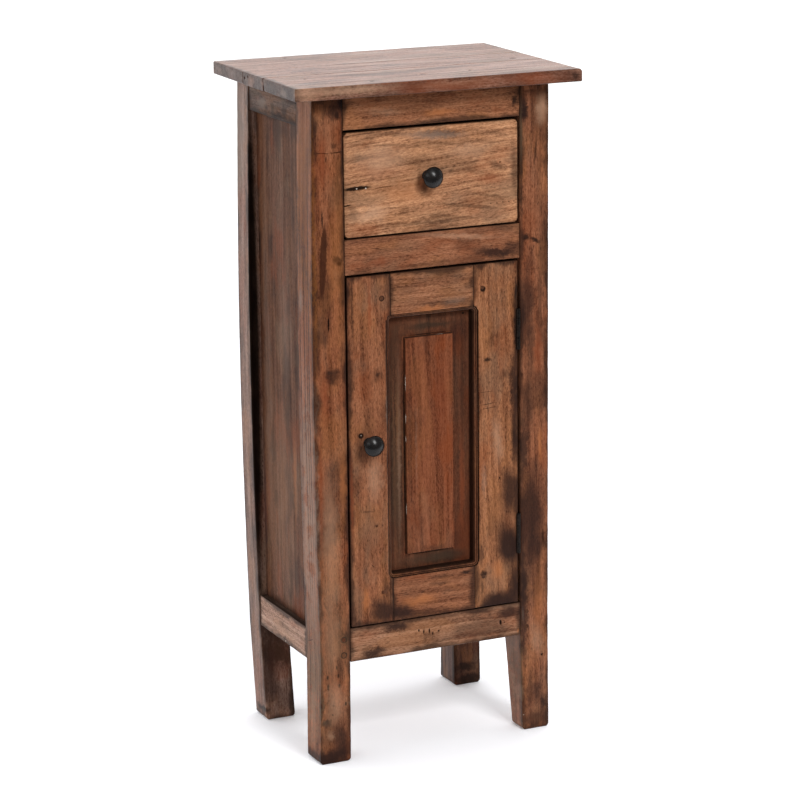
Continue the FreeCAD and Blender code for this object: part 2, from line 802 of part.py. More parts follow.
seam_back = "top_depth / 2 - top_back_board"
seam_front = "top_depth / 2 - top_back_board - top_middle_board"
top_screws = []
for name, side in left_right:
    for share in (0.08, 0.38, 0.8):
        x = "top_cleat_inner + top_cleat / 2"
        y = "front_post_back + side_rail_length * %s" % share
        top_screws.append(screw("top_screw", "screw_radius", "screw_head_radius",
                                "screw_head_height", "top_screw_length",
                                (signed(side, x), y, "top_cleat_low"), upward))
top_screws = group("top_screws", top_screws)
for name, side in left_right:
    blank = board(name + "_top_cleat_blank", mirrored(side, "top_cleat_inner", "side_rail_inner"),
                  ("front_post_back", "back_post_front"), ("top_cleat_low", "frame_top"))
    cut(name + "_top_cleat", blank, [top_screws])


def top_board(label, y_low, y_high):
    """One board of the top; its outer corners are rounded and its outer edges eased."""
    body = new_body(label + "_blank")
    outline = new_sketch(body, "outline", "XY_Plane")
    rectangle(outline, "-top_width / 2", y_low, "top_width / 2", y_high)
    feature = pad(outline, "top_thick")
    box = feature.Shape.BoundBox
    edge_y = {"top_front_board": box.YMin, "top_back_board": box.YMax}.get(label)

    def outer_corner(edge):
        return runs_along("z")(edge) and edge_y is not None and \
            abs(edge.CenterOfMass.y - edge_y) < 1e-6

    if edge_y is not None:
        feature = round_edges(feature, outer_corner, "top_corner_radius")

    def outer_arris(edge):
        if runs_along("z")(edge):
            return False
        if runs_along("x")(edge):
            return edge_y is not None and abs(edge.CenterOfMass.y - edge_y) < 1e-6
        return True

    round_edges(feature, outer_arris, "top_easing")
    body.Placement.Rotation = FreeCAD.Rotation(upward, -1)
    bind(body, "Placement.Rotation.Angle", "-top_turn")
    bind(body, "Placement.Base.z", "frame_top")
    return cut(label, body, [top_screws])


top_board("top_front_board", "-top_depth / 2", seam_front)
top_board("top_middle_board", seam_front, seam_back)
top_board("top_back_board", seam_back, "top_depth / 2")


# Knobs, each held by a machine screw from behind.

def knob(label, x, y, z, board_thick):
    """A turned knob: a small base, a stem that flares to the rim, and a low dome."""
    through = turned(label + "_screw",
                     [("0", "-%s - knob_screw_head_height" % board_thick),
                      ("knob_screw_head_radius", "-%s - knob_screw_head_height" % board_thick),
                      ("knob_screw_head_radius", "-" + board_thick),
                      ("screw_radius", "-" + board_thick),
                      ("screw_radius", "knob_screw_depth"), ("0", "knob_screw_depth")])
    body = new_body(label + "_blank")
    profile = new_sketch(body, "profile", "XZ_Plane")
    corners = [("0", "0"), ("knob_base_radius", "0"), ("knob_base_radius", "knob_base_height"),
               ("knob_stem_radius", "knob_base_height"), ("knob_stem_radius", "knob_stem_top"),
               ("knob_head_radius", "knob_rim_low"), ("knob_head_radius", "knob_rim_high"),
               ("0", "knob_projection")]
    seeds = [FreeCAD.Vector(amount(radius), amount(height), 0) for radius, height in corners]
    flare, dome = 4, 6
    for index in range(len(corners)):
        start = seeds[index]
        end = seeds[(index + 1) % len(corners)]
        if index == flare:
            middle = FreeCAD.Vector((start.x + end.x) / 2, (start.y + 2 * end.y) / 3, 0)
            sketched = Part.Arc(end, middle, start)
        elif index == dome:
            middle = FreeCAD.Vector(start.x * 2 / 3, (start.y + 2 * end.y) / 3, 0)
            sketched = Part.Arc(start, middle, end)
        else:
            sketched = Part.LineSegment(start, end)
        profile.addGeometry(sketched)

    def end_at(index, point):
        """The end of a curve that lies at the point; an arc runs anticlockwise."""
        curve = profile.Geometry[index]
        nearer_start = (curve.StartPoint - point).Length < (curve.EndPoint - point).Length
        return 1 if nearer_start else 2

    ends = []
    for index in range(len(corners)):
        following = (index + 1) % len(corners)
        ends.append((end_at(index, seeds[index]), end_at(index, seeds[following])))
    for index in range(len(corners)):
        following = (index + 1) % len(corners)
        kind = "Tangent" if following == flare else "Coincident"
        profile.addConstraint(Sketcher.Constraint(kind, index, ends[index][1],
                                                  following, ends[following][0]))
    for index, (radius, height) in enumerate(corners):
        pin_point(profile, index, ends[index][0], radius, height)
    profile.addConstraint(Sketcher.Constraint("PointOnObject", dome, 3, -2))
    spun = body.newObject("PartDesign::Revolution", label + "_turned")
    spun.Profile = profile
    spun.ReferenceAxis = (profile, ["V_Axis"])
    doc.recompute()
    for part in (through, body):
        point_along(part, outward)
        place(part, x, y, z)
    keep(through)
    cut(label, body, [through])
    return through


# Drawer: a thick front, sides housed into it, a back between them and a bottom in grooves.

drawer_knob_screw = knob("drawer_knob", "drawer_knob_x", "front_rail_front", "drawer_knob_z",
                         "drawer_front_thick")
nails = []
for name, side in left_right:
    for share in (1 / 4, 3 / 4):
        height = "drawer_bottom_top + (drawer_side_top - drawer_bottom_top) * %s" % share
        nails.append(dowel("drawer_nail", "nail_radius", "nail_length",
                           (signed(side, "drawer_side_outer"),
                            "drawer_back_back - drawer_back_thick / 2", height),
                           FreeCAD.Vector(-side, 0, 0)))
nails = group("drawer_nails", nails)
bottom = keep(board("drawer_bottom",
                    ("-drawer_side_inner - drawer_bottom_groove",
                     "drawer_side_inner + drawer_bottom_groove"),
                    ("drawer_front_back - drawer_bottom_groove", "drawer_side_back"),
                    ("drawer_bottom_low", "drawer_bottom_top")))
sides = []
for name, side in left_right:
    blank = board("drawer_%s_side_blank" % name,
                  mirrored(side, "drawer_side_inner", "drawer_side_outer"),
                  ("drawer_side_front", "drawer_side_back"),
                  ("drawer_side_low", "drawer_side_top"))
    sides.append(cut("drawer_%s_side" % name, blank, [bottom, nails]))
back_blank = board("drawer_back_blank", ("-drawer_side_inner", "drawer_side_inner"),
                   ("drawer_back_front", "drawer_back_back"),
                   ("drawer_bottom_top", "drawer_side_top"))
cut("drawer_back", back_blank, [nails])

front_blank = new_body("drawer_front_blank")
face = new_sketch(front_blank, "face", "XZ_Plane")
rounded_rectangle(face, "0", "0", "drawer_right - drawer_left", "drawer_top - drawer_low",
                  "drawer_corner_radius")
slab = pad(face, "drawer_front_thick", reverse=True)
front_y = slab.Shape.BoundBox.YMin
round_edges(slab, lambda edge: abs(edge.BoundBox.YMax - front_y) < 1e-6, "drawer_front_easing")
place(front_blank, "drawer_left", "front_rail_front", "drawer_low")
cut("drawer_front", front_blank, sides + [bottom, drawer_knob_screw])

# Door: stiles and rails tenoned together round a raised panel. Their inner edge carries
# a quarter-round moulding with a small step, run round with a cutter, so its corners are round.

panel_body = new_body("door_panel")
slab_outline = new_sketch(panel_body, "slab", "XZ_Plane")
rectangle(slab_outline, "opening_left - door_panel_tongue", "opening_low - door_panel_tongue",
          "opening_right + door_panel_tongue", "opening_top + door_panel_tongue")
pad(slab_outline, "door_panel_thick", reverse=True)
field_outline = new_sketch(panel_body, "field", "XZ_Plane")
rectangle(field_outline, "opening_left + field_margin_sides", "opening_low + field_margin_below",
          "opening_right - field_margin_sides", "opening_top - field_margin_above")
field = pad(field_outline, "field_height")
front_y = field.Shape.BoundBox.YMin
bevel = panel_body.newObject("PartDesign::Chamfer", "door_panel_bevel")
bevel.Base = (field, edge_names(field.Shape, lambda edge: abs(edge.BoundBox.YMax - front_y) < 1e-6))
bind(bevel, "Size", "field_bevel")
doc.recompute()
place(panel_body, "0", "door_panel_front", "0")
keep(panel_body)

cutter = new_body("moulding_cutter")
outer_loop = new_sketch(cutter, "step", "XZ_Plane")
rounded_rectangle(outer_loop, "opening_left - moulding_width", "opening_low - moulding_width",
                  "opening_right + moulding_width", "opening_top + moulding_width",
                  "moulding_corner")
pad(outer_loop, "moulding_step + overrun")
inner_loop = new_sketch(cutter, "round", "XZ_Plane")
rounded_rectangle(inner_loop, "opening_left", "opening_low", "opening_right", "opening_top",
                  "moulding_corner - moulding_width")
plug = pad(inner_loop, "door_thick", reverse=True)
inside = plug.Shape.BoundBox


def at_the_step(edge):
    """The edges where the wide part of the cutter meets its plug."""
    box = edge.BoundBox
    clear = (inside.XMin + 1e-6 < box.XMin and box.XMax < inside.XMax - 1e-6
             and inside.ZMin + 1e-6 < box.ZMin and box.ZMax < inside.ZMax - 1e-6)
    return clear and abs(box.YMin) < 1e-6 and abs(box.YMax) < 1e-6


round_edges(plug, at_the_step, "moulding_radius")
place(cutter, "0", "door_front + moulding_step", "0")

door_pegs = []
for x in ("opening_left - door_peg_inset", "opening_right + door_peg_inset"):
    for z in ("opening_top + door_peg_above", "opening_low - door_peg_below"):
        door_pegs.append(dowel("door_peg", "door_peg_radius", "door_peg_length",
                               (x, "door_front", z), into))
door_pegs = group("door_pegs", door_pegs)
door_knob_screw = knob("door_knob", "door_knob_x", "door_front", "door_knob_z", "door_thick")

door_rails = []
for name, low, height in (("top", "opening_top", "door_top_rail"),
                          ("bottom", "door_low", "door_bottom_rail")):
    blank = rail("door_%s_rail_blank" % name, "opening_right - opening_left", "door_thick", height,
                 ("door_tenon_length", "door_tenon_thick", "door_tenon_shoulder"), "door_easing")
    place(blank, "opening_middle", "door_front", low)
    door_rails.append(cut("door_%s_rail" % name, blank, [cutter, panel_body, door_pegs]))
for name, x, extras in (("left", ("door_left", "opening_left"), [door_knob_screw, strike_screw]),
                        ("right", ("opening_right", "door_right"),
                         door_leaves + [door_screws] + knuckle_notches)):
    blank = board("door_%s_stile_blank" % name, x, ("door_front", "door_back"),
                  ("door_low", "door_top"), "door_easing")
    cut("door_%s_stile" % name, blank,
        door_rails + [cutter, panel_body, door_pegs] + extras)

# Every feature has to be sound before a piece is written.

doc.recompute()
for part in doc.Objects:
    if "Invalid" in part.State or "Error" in part.State:
        raise RuntimeError("%s failed: %s" % (part.Label, part.State))
os.makedirs("parts", exist_ok=True)
for part in nodes:
    if part.Shape.isNull() or not part.Shape.isValid():
        raise RuntimeError(part.Label + " has no sound shape")
    part.Shape.exportStep(os.path.join("parts", part.Label + ".step"))
    print("%-28s solids %d volume %.0f" % (part.Label, len(part.Shape.Solids), part.Shape.Volume))
print(len(nodes), "nodes")
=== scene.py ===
import json
import math

import bmesh
import bpy
from mathutils import Euler, Matrix, Vector, noise

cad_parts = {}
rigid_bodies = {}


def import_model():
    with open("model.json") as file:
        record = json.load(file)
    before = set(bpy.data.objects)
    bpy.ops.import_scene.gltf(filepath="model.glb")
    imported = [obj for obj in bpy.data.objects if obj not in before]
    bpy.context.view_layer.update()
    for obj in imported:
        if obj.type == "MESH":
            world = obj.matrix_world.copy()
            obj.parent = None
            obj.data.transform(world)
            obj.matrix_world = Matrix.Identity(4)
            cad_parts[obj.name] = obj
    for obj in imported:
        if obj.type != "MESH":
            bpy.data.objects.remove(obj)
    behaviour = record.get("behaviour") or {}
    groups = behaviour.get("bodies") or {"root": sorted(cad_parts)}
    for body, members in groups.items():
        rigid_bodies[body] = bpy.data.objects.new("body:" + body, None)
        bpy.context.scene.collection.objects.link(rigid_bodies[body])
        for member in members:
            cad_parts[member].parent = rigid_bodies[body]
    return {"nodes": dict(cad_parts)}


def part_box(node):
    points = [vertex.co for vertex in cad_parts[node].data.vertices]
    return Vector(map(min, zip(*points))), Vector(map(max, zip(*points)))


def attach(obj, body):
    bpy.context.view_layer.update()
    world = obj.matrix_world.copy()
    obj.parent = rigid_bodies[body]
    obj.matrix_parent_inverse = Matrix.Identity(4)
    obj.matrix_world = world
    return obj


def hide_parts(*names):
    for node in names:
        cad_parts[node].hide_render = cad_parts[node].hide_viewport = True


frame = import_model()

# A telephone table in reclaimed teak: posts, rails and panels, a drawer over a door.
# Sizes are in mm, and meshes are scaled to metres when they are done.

mm = 0.001
for leftover in list(bpy.data.objects):
    if leftover.name not in frame["nodes"] and not leftover.name.startswith("body:"):
        bpy.data.objects.remove(leftover)
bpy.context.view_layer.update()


# The camera of the photograph. Its place is in metres.
cameraSettings = {
    "place": (-1.68305, -3.61689, 1.44715),
    "forward": (0.40959752, 0.87953773, -0.2421637),
    "up": (0.11204081, 0.2149429, 0.97017854),
    "focal": 3086,      # in pixels of the 800 pixel frame
    "frame": 800,
    "sensor": 36,
}

eye = Vector(cameraSettings["place"])
forward = Vector(cameraSettings["forward"]).normalized()
right = forward.cross(Vector(cameraSettings["up"])).normalized()
up = right.cross(forward)
camera = bpy.data.objects.new("camera", bpy.data.cameras.new("camera"))
camera.data.sensor_width = cameraSettings["sensor"]
camera.data.lens = cameraSettings["sensor"] * cameraSettings["focal"] / cameraSettings["frame"]
camera.matrix_world = Matrix.Translation(eye) @ Matrix((right, up, -forward)).transposed().to_4x4()
bpy.context.scene.collection.objects.link(camera)
bpy.context.scene.camera = camera


def photoPoint(across, down, axis, plane):
    # Where a pixel of the photograph meets a flat face, in mm.
    middle = cameraSettings["frame"] / 2
    ray = (forward + right * ((across - middle) / cameraSettings["focal"])
           - up * ((down - middle) / cameraSettings["focal"]))
    return (eye + ray * ((plane * mm - eye[axis]) / ray[axis])) / mm


# The studio. Its places and sizes are in metres, and its lamps' power in watts.
studioSettings = {
    "backdrop": 1.7,        # brightness of the white backdrop behind the table
    "room": 0.4,            # and of the dim room on the camera's side
    "backdropWay": (0, 0.94, 0.34),     # the backdrop stands behind the table and leans over it,
    "backdropFade": (-0.1, 0.5),        # and fades into the room between these
    "seen": 1.3,            # the surround as the camera sees it, plain white
    "paper": "#f2f3f7",
    "floor": ((-3.5, -0.75), (3.5, 3.5)),
    "floorGlow": 0.15,      # light that comes through the paper from below
    "softboxes": {          # place, size and power
        "softboxFront": ((0.35, -3.0, 2.7), 1.0, 88),
        "softboxLeft": ((-2.6, -2.4, 1.9), 1.4, 12),
    },
    "aim": (0, 0, 0.45),
}


def addNode(tree, kind, settings=None, links=None):
    # A setting is an input's value or a property. A link comes from a socket or from the first
    # output of a node.
    node = tree.nodes.new("ShaderNode" + kind)
    for name, value in (settings or {}).items():
        if isinstance(name, int) or name in node.inputs:
            node.inputs[name].default_value = value
        else:
            setattr(node, name, value)
    for name, source in (links or {}).items():
        tree.links.new(getattr(source, "outputs", [source])[0], node.inputs[name])
    return node


def linear(colour):
    # An sRGB hex value as the linear colour that a shader takes.
    parts = [int(colour[i:i + 2], 16) / 255 for i in (1, 3, 5)]
    return [p / 12.92 if p <= 0.04045 else ((p + 0.055) / 1.055) ** 2.4 for p in parts] + [1]


def newMaterial(name):
    material = bpy.data.materials.new(name)
    material.use_nodes = True
    material.node_tree.nodes.clear()
    return material, material.node_tree


def whitePaper():
    # Matt background paper: a soft white with hardly any tooth.
    material, tree = newMaterial("whitePaper")
    place = addNode(tree, "TexCoord").outputs["Object"]
    tooth = addNode(tree, "TexNoise", {"Scale": 900, "Detail": 2}, {"Vector": place})
    bump = addNode(tree, "Bump", {"Strength": 0.05, "Distance": 0.0002}, {"Height": tooth})
    paper = addNode(tree, "BsdfPrincipled", {
        "Base Color": linear(studioSettings["paper"]), "Roughness": 0.9, "Specular IOR Level": 0.2,
        "Emission Color": (1, 1, 1, 1), "Emission Strength": studioSettings["floorGlow"]}, {"Normal": bump})
    addNode(tree, "OutputMaterial", {}, {"Surface": paper})
    return material


def hangBackdrop():
    # A white backdrop behind and above the table, and a dim room in front of it.
    world = bpy.data.worlds.new("studio")
    world.use_nodes = True
    tree = world.node_tree
    tree.nodes.clear()
    way = addNode(tree, "TexCoord").outputs["Generated"]
    way = addNode(tree, "VectorMath", {"operation": "DOT_PRODUCT", 1: studioSettings["backdropWay"]},
                  {0: way}).outputs["Value"]
    start, full = studioSettings["backdropFade"]
    glow = addNode(tree, "MapRange", {
        "interpolation_type": "SMOOTHSTEP", "From Min": start, "From Max": full,
        "To Min": studioSettings["room"], "To Max": studioSettings["backdrop"]}, {"Value": way})
    seen = addNode(tree, "LightPath")
    glow = addNode(tree, "Mix", {"data_type": "FLOAT", 3: studioSettings["seen"]},
                   {0: seen.outputs["Is Camera Ray"], 2: glow})
    light = addNode(tree, "Background", {"Color": (1, 1, 1, 1)}, {"Strength": glow})
    addNode(tree, "OutputWorld", {}, {"Surface": light})
    bpy.context.scene.world = world
    bpy.context.scene.view_settings.view_transform = "Standard"


def setLamps():
    for name, (place, size, power) in studioSettings["softboxes"].items():
        lamp = bpy.data.objects.new(name, bpy.data.lights.new(name, "AREA"))
        lamp.data.size = size
        lamp.data.energy = power
        facing = (Vector(studioSettings["aim"]) - Vector(place)).to_track_quat("-Z", "Y")
        lamp.matrix_world = Matrix.Translation(place) @ facing.to_matrix().to_4x4()
        bpy.context.scene.collection.objects.link(lamp)


def layFloor():
    shape = bmesh.new()
    bmesh.ops.create_grid(shape, x_segments=2, y_segments=2, size=0.5)
    low, high = [Vector(corner + (0,)) for corner in studioSettings["floor"]]
    bmesh.ops.scale(shape, verts=shape.verts, vec=(high.x - low.x, high.y - low.y, 1))
    bmesh.ops.translate(shape, verts=shape.verts, vec=(low + high) / 2)
    mesh = bpy.data.meshes.new("studioFloor")
    shape.to_mesh(mesh)
    shape.free()
    mesh.materials.append(whitePaper())
    floor = bpy.data.objects.new("studioFloor", mesh)
    bpy.context.scene.collection.objects.link(floor)


hangBackdrop()
setLamps()
layFloor()
print("studio set")


# Marks on the wood, mostly left by age and use, some of them painted highlights and painted shade:
# colour, strength, the share of the mark's radius over which it fades, how far its outline wanders in mm,
# and how deep it goes in mm.
markKinds = {
    "stain": ("#211815", 0.9, 0.75, 9, 0),
    "char": ("#191416", 0.85, 0.9, 12, 0),
    "shade": ("#3a261d", 0.6, 1.0, 12, 0),
    "grey": ("#7a695e", 0.6, 0.9, 9, 0),
    "purple": ("#4b3532", 0.6, 0.9, 9, 0),
    "red": ("#7d3f26", 0.55, 1.0, 8, 0),
    "glow": ("#a8683f", 0.6, 1.0, 8, 0),
    "pale": ("#b48f74", 0.55, 1.0, 9, 0),
    "streak": ("#2f1d15", 0.75, 0.7, 1.5, 0),
    "line": ("#2b1a13", 0.8, 0.6, 0.8, 0.15),
    "knot": ("#2a1710", 0.85, 0.8, 1.5, 0.2),
    "crack": ("#0d0806", 0.97, 0.45, 0.8, 1.2),
    "hole": ("#0c0705", 0.95, 0.5, 0.3, 1.6),
    "dent": ("#3b2b25", 0.75, 0.6, 0.4, 0.7),
    "nail": ("#17100d", 0.95, 0.3, 0.3, 0.3),
    # Seams are dark lines of painted shade, with grime, in a recess or a step.
    "seam": ("#0d0806", 0.95, 0.5, 0.4, 0),
    "paint": ("#351c13", 0.85, 0.25, 1.0, 0),
    "ochre": ("#8a5428", 0.6, 0.8, 4, 0),
    # A glint is a painted highlight: a bright spot or a lit arris.
    "glint": ("#d9c9bb", 0.75, 0.6, 0.4, 0),
    "smoke": ("#291c19", 0.88, 0.75, 6, 0),
    "dust": ("#604f3d", 0.6, 1.0, 5, 0),
}
faces = {"front": (1, -1), "left": (0, -1), "top": (2, 1)}      # axis and outward side


def spotsOn(low, high, marks):
    # Each mark as its kind, centre, radii, turn and strength. A mark that the photograph shows is
    # given by its pixel there, kind, width and height, and if need be a share of its kind's
    # strength and a turn in degrees. It is on the front unless another face is named first.
    # Other marks are given by kind, centre and radii, and if need be a share.
    spots = []
    for mark in marks:
        turn = Vector((0, 0, 0))
        if mark[0] in markKinds:
            kind, centre, radii, *rest = mark
            share = rest[0] if rest else 1
            centre, radii = Vector(centre), Vector(radii)
            axis = min(range(3), key=lambda a: radii[a])
        else:
            face, across, down, kind, width, height, *rest = mark if mark[0] in faces else ("front", *mark)
            share, degrees = rest + [1, 0][len(rest):]
            axis, side = faces[face]
            centre = photoPoint(across, down, axis, (low, high)[side > 0][axis])
            turn[axis] = side * math.radians(degrees)
            radii = Vector((width / 2, height / 2 if face == "top" else width / 2, height / 2))
            radii[axis] = min(width, height) * 0.6 + 2      # deep enough for a worn or wavy face
        spots.append({"kind": kind, "centre": centre, "radii": radii, "turn": turn, "axis": axis,
                      "strength": markKinds[kind][1] * share})
    return spots


# How a board is cut.
boardCut = {
    "arris": 1.2,           # rounding of the edges
    "step": 4,              # spacing of the lines that carry the wear
    "dentLines": (-1, -0.5, 0, 0.5, 1),             # more lines, across a dent or a hole
    "cornerLines": (0.2, 0.4, 0.6, 0.8, 1),         # and inside a rounded corner
    "lines": ([], [], []),  # and where a relief needs them
    "wavy": 0.3,            # how far a planed face wanders,
    "waveLength": 38,       # and over what length
    "wear": 1.6,            # deepest bite out of an arris
    "wearLength": 13,       # how long such bites are,
    "wearShare": 0.12,      # how much more of the arris they take than half,
    "wearSlope": 2.4,       # and how soon they end on the faces beside it
    "seed": 0,
    "seedShift": (13.7, 5.1, 0),
    "turn": 0,              # about the upright axis, in degrees
    "corners": (),          # axes of a plane, radius and the corners that are rounded in it
    "bow": 0,               # how far the left face swells halfway up
    "foot": None,           # how far a leg's foot is drawn in on its left, right, front and back
    "knee": 133,            # height at which that starts
    "relief": None,         # a height over the front face
}


def gridLines(low, high, step, arris, wanted):
    # Even lines between two arrises with the wanted ones, apart from those too close together.
    first, last = low + arris * 1.4, high - arris * 1.4
    count = max(1, round((last - first) / step))
    lines = sorted([first + (last - first) * i / count for i in range(count + 1)]
                   + [line for line in wanted if first < line < last])
    kept = [low]
    for line in lines:
        if line - kept[-1] > arris * 0.4:
            kept.append(line)
    return kept + [high]


def boardLines(low, high, cut, square, spots):
    wanted = [list(cut["lines"][axis]) for axis in range(3)]
    for spot in spots:
        if markKinds[spot["kind"]][4]:
            centre = square.inverted() @ spot["centre"]
            for axis in range(3):
                if axis != spot["axis"]:
                    wanted[axis] += [centre[axis] + spot["radii"][axis] * k for k in cut["dentLines"]]
    for axes, radius, _ in cut["corners"]:
        for axis in axes:
            for k in cut["cornerLines"]:
                wanted[axis] += [low[axis] + radius * k, high[axis] - radius * k]
    return [gridLines(low[a], high[a], cut["step"], cut["arris"], wanted[a]) for a in range(3)]


def sawnBlock(lines, arris):
    # A block with a point wherever the lines on its faces cross, its arrises rounded.
    shape = bmesh.new()
    bmesh.ops.create_cube(shape, size=1)
    for axis in range(3):
        along = [e for e in shape.edges if abs((e.verts[0].co - e.verts[1].co)[axis]) > 0.1]
        bmesh.ops.subdivide_edges(shape, edges=along, cuts=len(lines[axis]) - 2)
    for vert in shape.verts:
        vert.co = [line[round((c + 0.5) * (len(line) - 1))] for c, line in zip(vert.co, lines)]
    arrises = []
    for edge in shape.edges:
        start, end = [v.co for v in edge.verts]
        flush = [a for a in range(3) if start[a] == end[a] and start[a] in (lines[a][0], lines[a][-1])]
        if len(flush) == 2:
            arrises.append(edge)
    bmesh.ops.bevel(shape, geom=arrises, affect="EDGES", offset=arris, segments=3, profile=0.5,
                    material=-1, loop_slide=True)
    return shape


def roundCorners(shape, low, high, axes, radius, which):
    # Draws square corners in to a radius, with the lines inside them.
    for signs in which:
        centre = [(high[a] - radius) if s > 0 else (low[a] + radius) for a, s in zip(axes, signs)]
        for vert in shape.verts:
            reach = [(vert.co[a] - c) * s for a, c, s in zip(axes, centre, signs)]
            if min(reach) > 0:
                shrink = max(reach) / math.hypot(*reach)
                for a, c, s, r in zip(axes, centre, signs, reach):
                    vert.co[a] = c + s * r * shrink


def weather(shape, cut, spots):
    # Planing, wear and dents take each point inwards, and a relief takes it out.
    shape.normal_update()
    shift = Vector([cut["seed"] * part for part in cut["seedShift"]])
    moves = []
    for vert in shape.verts:
        normal = vert.normal.copy()
        slope = 1 - max(abs(part) for part in normal)
        inward = cut["wavy"] * (0.5 + 0.5 * noise.noise((vert.co + shift) / cut["waveLength"]))
        bite = max(0, noise.noise((vert.co + shift) / cut["wearLength"]) + cut["wearShare"])
        inward += cut["wear"] * slope * cut["wearSlope"] * bite
        for spot in spots:
            depth = markKinds[spot["kind"]][4]
            if depth:
                place = vert.co - spot["centre"]
                place.rotate(Euler(-spot["turn"]))
                away = Vector([part / radius for part, radius in zip(place, spot["radii"])])
                inward += depth * max(0, 1 - away.length_squared) ** 0.7
        if cut["relief"] and normal.y < -0.5:
            inward -= cut["relief"](vert.co.x, vert.co.z)
        moves.append(normal * -inward)
    for vert, move in zip(shape.verts, moves):
        vert.co += move


def shapeLeg(shape, low, high, cut):
    # A post swells to the left above its knee, and its foot is drawn in below.
    for vert in shape.verts:
        if cut["bow"] and vert.co.z > cut["knee"]:
            halfway = math.sin(math.pi * (vert.co.z - cut["knee"]) / (high[2] - cut["knee"]))
            vert.co.x -= cut["bow"] * halfway * (high[0] - vert.co.x) / (high[0] - low[0])
        if cut["foot"] and vert.co.z < cut["knee"]:
            share = 1 - vert.co.z / cut["knee"]
            left, rightSide, front, back = cut["foot"]
            u, v = [(vert.co[a] - low[a]) / (high[a] - low[a]) for a in (0, 1)]
            vert.co.x += (left * (1 - u) - rightSide * u) * share
            vert.co.y += (front * (1 - v) - back * v) * share


def shadeEvenly(piece):
    piece.modifiers.new("evenShading", "WEIGHTED_NORMAL").keep_sharp = True


def finishMesh(name, shape):
    bmesh.ops.scale(shape, vec=(mm, mm, mm), verts=shape.verts)
    mesh = bpy.data.meshes.new(name)
    shape.to_mesh(mesh)
    shape.free()
    for polygon in mesh.polygons:
        polygon.use_smooth = True
    piece = bpy.data.objects.new(name, mesh)
    bpy.context.scene.collection.objects.link(piece)
    shadeEvenly(piece)
    return piece


def sawnBoard(name, low, high, cut, spots=()):
    cut = {**boardCut, **cut}
    square = Matrix.Rotation(math.radians(cut["turn"]), 4, "Z")
    shape = sawnBlock(boardLines(low, high, cut, square, spots), cut["arris"])
    for corners in cut["corners"]:
        roundCorners(shape, low, high, *corners)
    if cut["turn"]:
        bmesh.ops.rotate(shape, verts=shape.verts, matrix=square.to_3x3())
    bmesh.ops.recalc_face_normals(shape, faces=shape.faces)
    weather(shape, cut, spots)
    shapeLeg(shape, low, high, cut)
    return finishMesh(name, shape)


def fit(piece, body, slot, material, *nodes):
    # Gives a piece its finish and the body it moves with, and hides the CAD nodes it stands for.
    piece.data.materials.append(material)
    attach(piece, body)
    if nodes:
        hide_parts(*nodes)


# Reclaimed teak.
teakLook = {
    "grain": 2,             # axis along which the board was sawn
    "lean": 0,              # slant of the grain in degrees
    "tone": "#7d4e36",
    "contrast": 1.2,        # how far the streaks go to either side of the tone
    "wander": 14,           # how far the grain wanders, mm,
    "wanderOver": (90, 90, 330),    # and over what width and length
    "ringWidth": 7,         # year rings, mm apart
    "ringPlace": (30, -70),     # the heart of the tree, mm from the middle of the table
    "ringLean": 14,         # slant of the heart in degrees,
    "ringTilt": 0.4,        # the share of it about the other axis,
    "ringLength": 0.15,     # and how little the rings change along the board
    "streaks": 0.34,        # shares of the tone that streaks, rings, fibres and speckle make up
    "rings": 0.14,
    "fibres": 0.2,
    "speckle": 0.36,
    "streakWidth": 9,
    "streakLength": 240,
    "golds": 0.25,          # strength of the patches, the pores and the darker end grain
    "reds": 0.3,
    "greys": 0.2,
    "smoke": 0.5,
    "pores": 0.52,
    "endGrain": 0.5,
    "edge": 0.75,           # grime along the board's edges,
    "edgeReach": 8,         # how far in it comes, mm,
    "edgeSoft": 1,          # the share of that over which it fades,
    "edgeRagged": 3.2,      # and how much it comes and goes
    "rim": 0,               # painted shade on the faces that look into a gap,
    "face": 1,              # which are those that don't look along this axis
    "bands": (),            # painted shade by the share of the way in from a moulding's outer line
    "gloss": 0.42,          # roughness of the waxed face,
    "sheen": 0.09,          # and how much rougher and smoother its streaks are
    "wax": 1.3,             # its index of refraction, lower where the wax has gone
    "poreDepth": 0.6,       # against the fibres' height
    "bump": {"Strength": 0.35, "Distance": 0.0004},     # distance in metres
    "seed": 0,
}
seedSteps = (61.3, 37.9, 83.1)      # how far apart the boards lie in the noise, mm
# Noises drawn out along the grain: width and length in mm, detail and roughness. Pores and
# speckle are coarser than teak's real ones, so that they show at this distance.
teakFigure = {
    "fibres": (1.7, 60, 3, 0.6), "speckle": (1.8, 4.5, 3, 0.7), "pores": (0.95, 6, 2, 0.5),
    "patches": (34, 85, 3, 0.55), "tide": (26, 44, 3, 0.55),
}
# The tone from dark to light: the place of each step, and how far red, green and blue change.
toneSteps = (
    (0.12, (-0.64, -0.68, -0.68)), (0.36, (-0.26, -0.29, -0.3)), (0.52, (0.02, 0.01, 0)),
    (0.68, (0.24, 0.27, 0.26)), (0.86, (0.5, 0.62, 0.68)),
)
# Where on its noise or its slant each patch starts and is full, and its colour.
patchTones = {
    "golds": (0.5, 0.36, "#946038"), "reds": (0.52, 0.66, "#7c3c1f"), "greys": (0.5, 0.68, "#75614f"),
    "pores": (0.55, 0.66, "#28160f"), "smoke": (0.52, 0.68, "#241a17"), "endGrain": (0.75, 0.95, "#3c271d"),
    # rim: the tone of the painted shade on faces that look into a gap
    "rim": (0.3, 0.8, "#140d0a"),
}
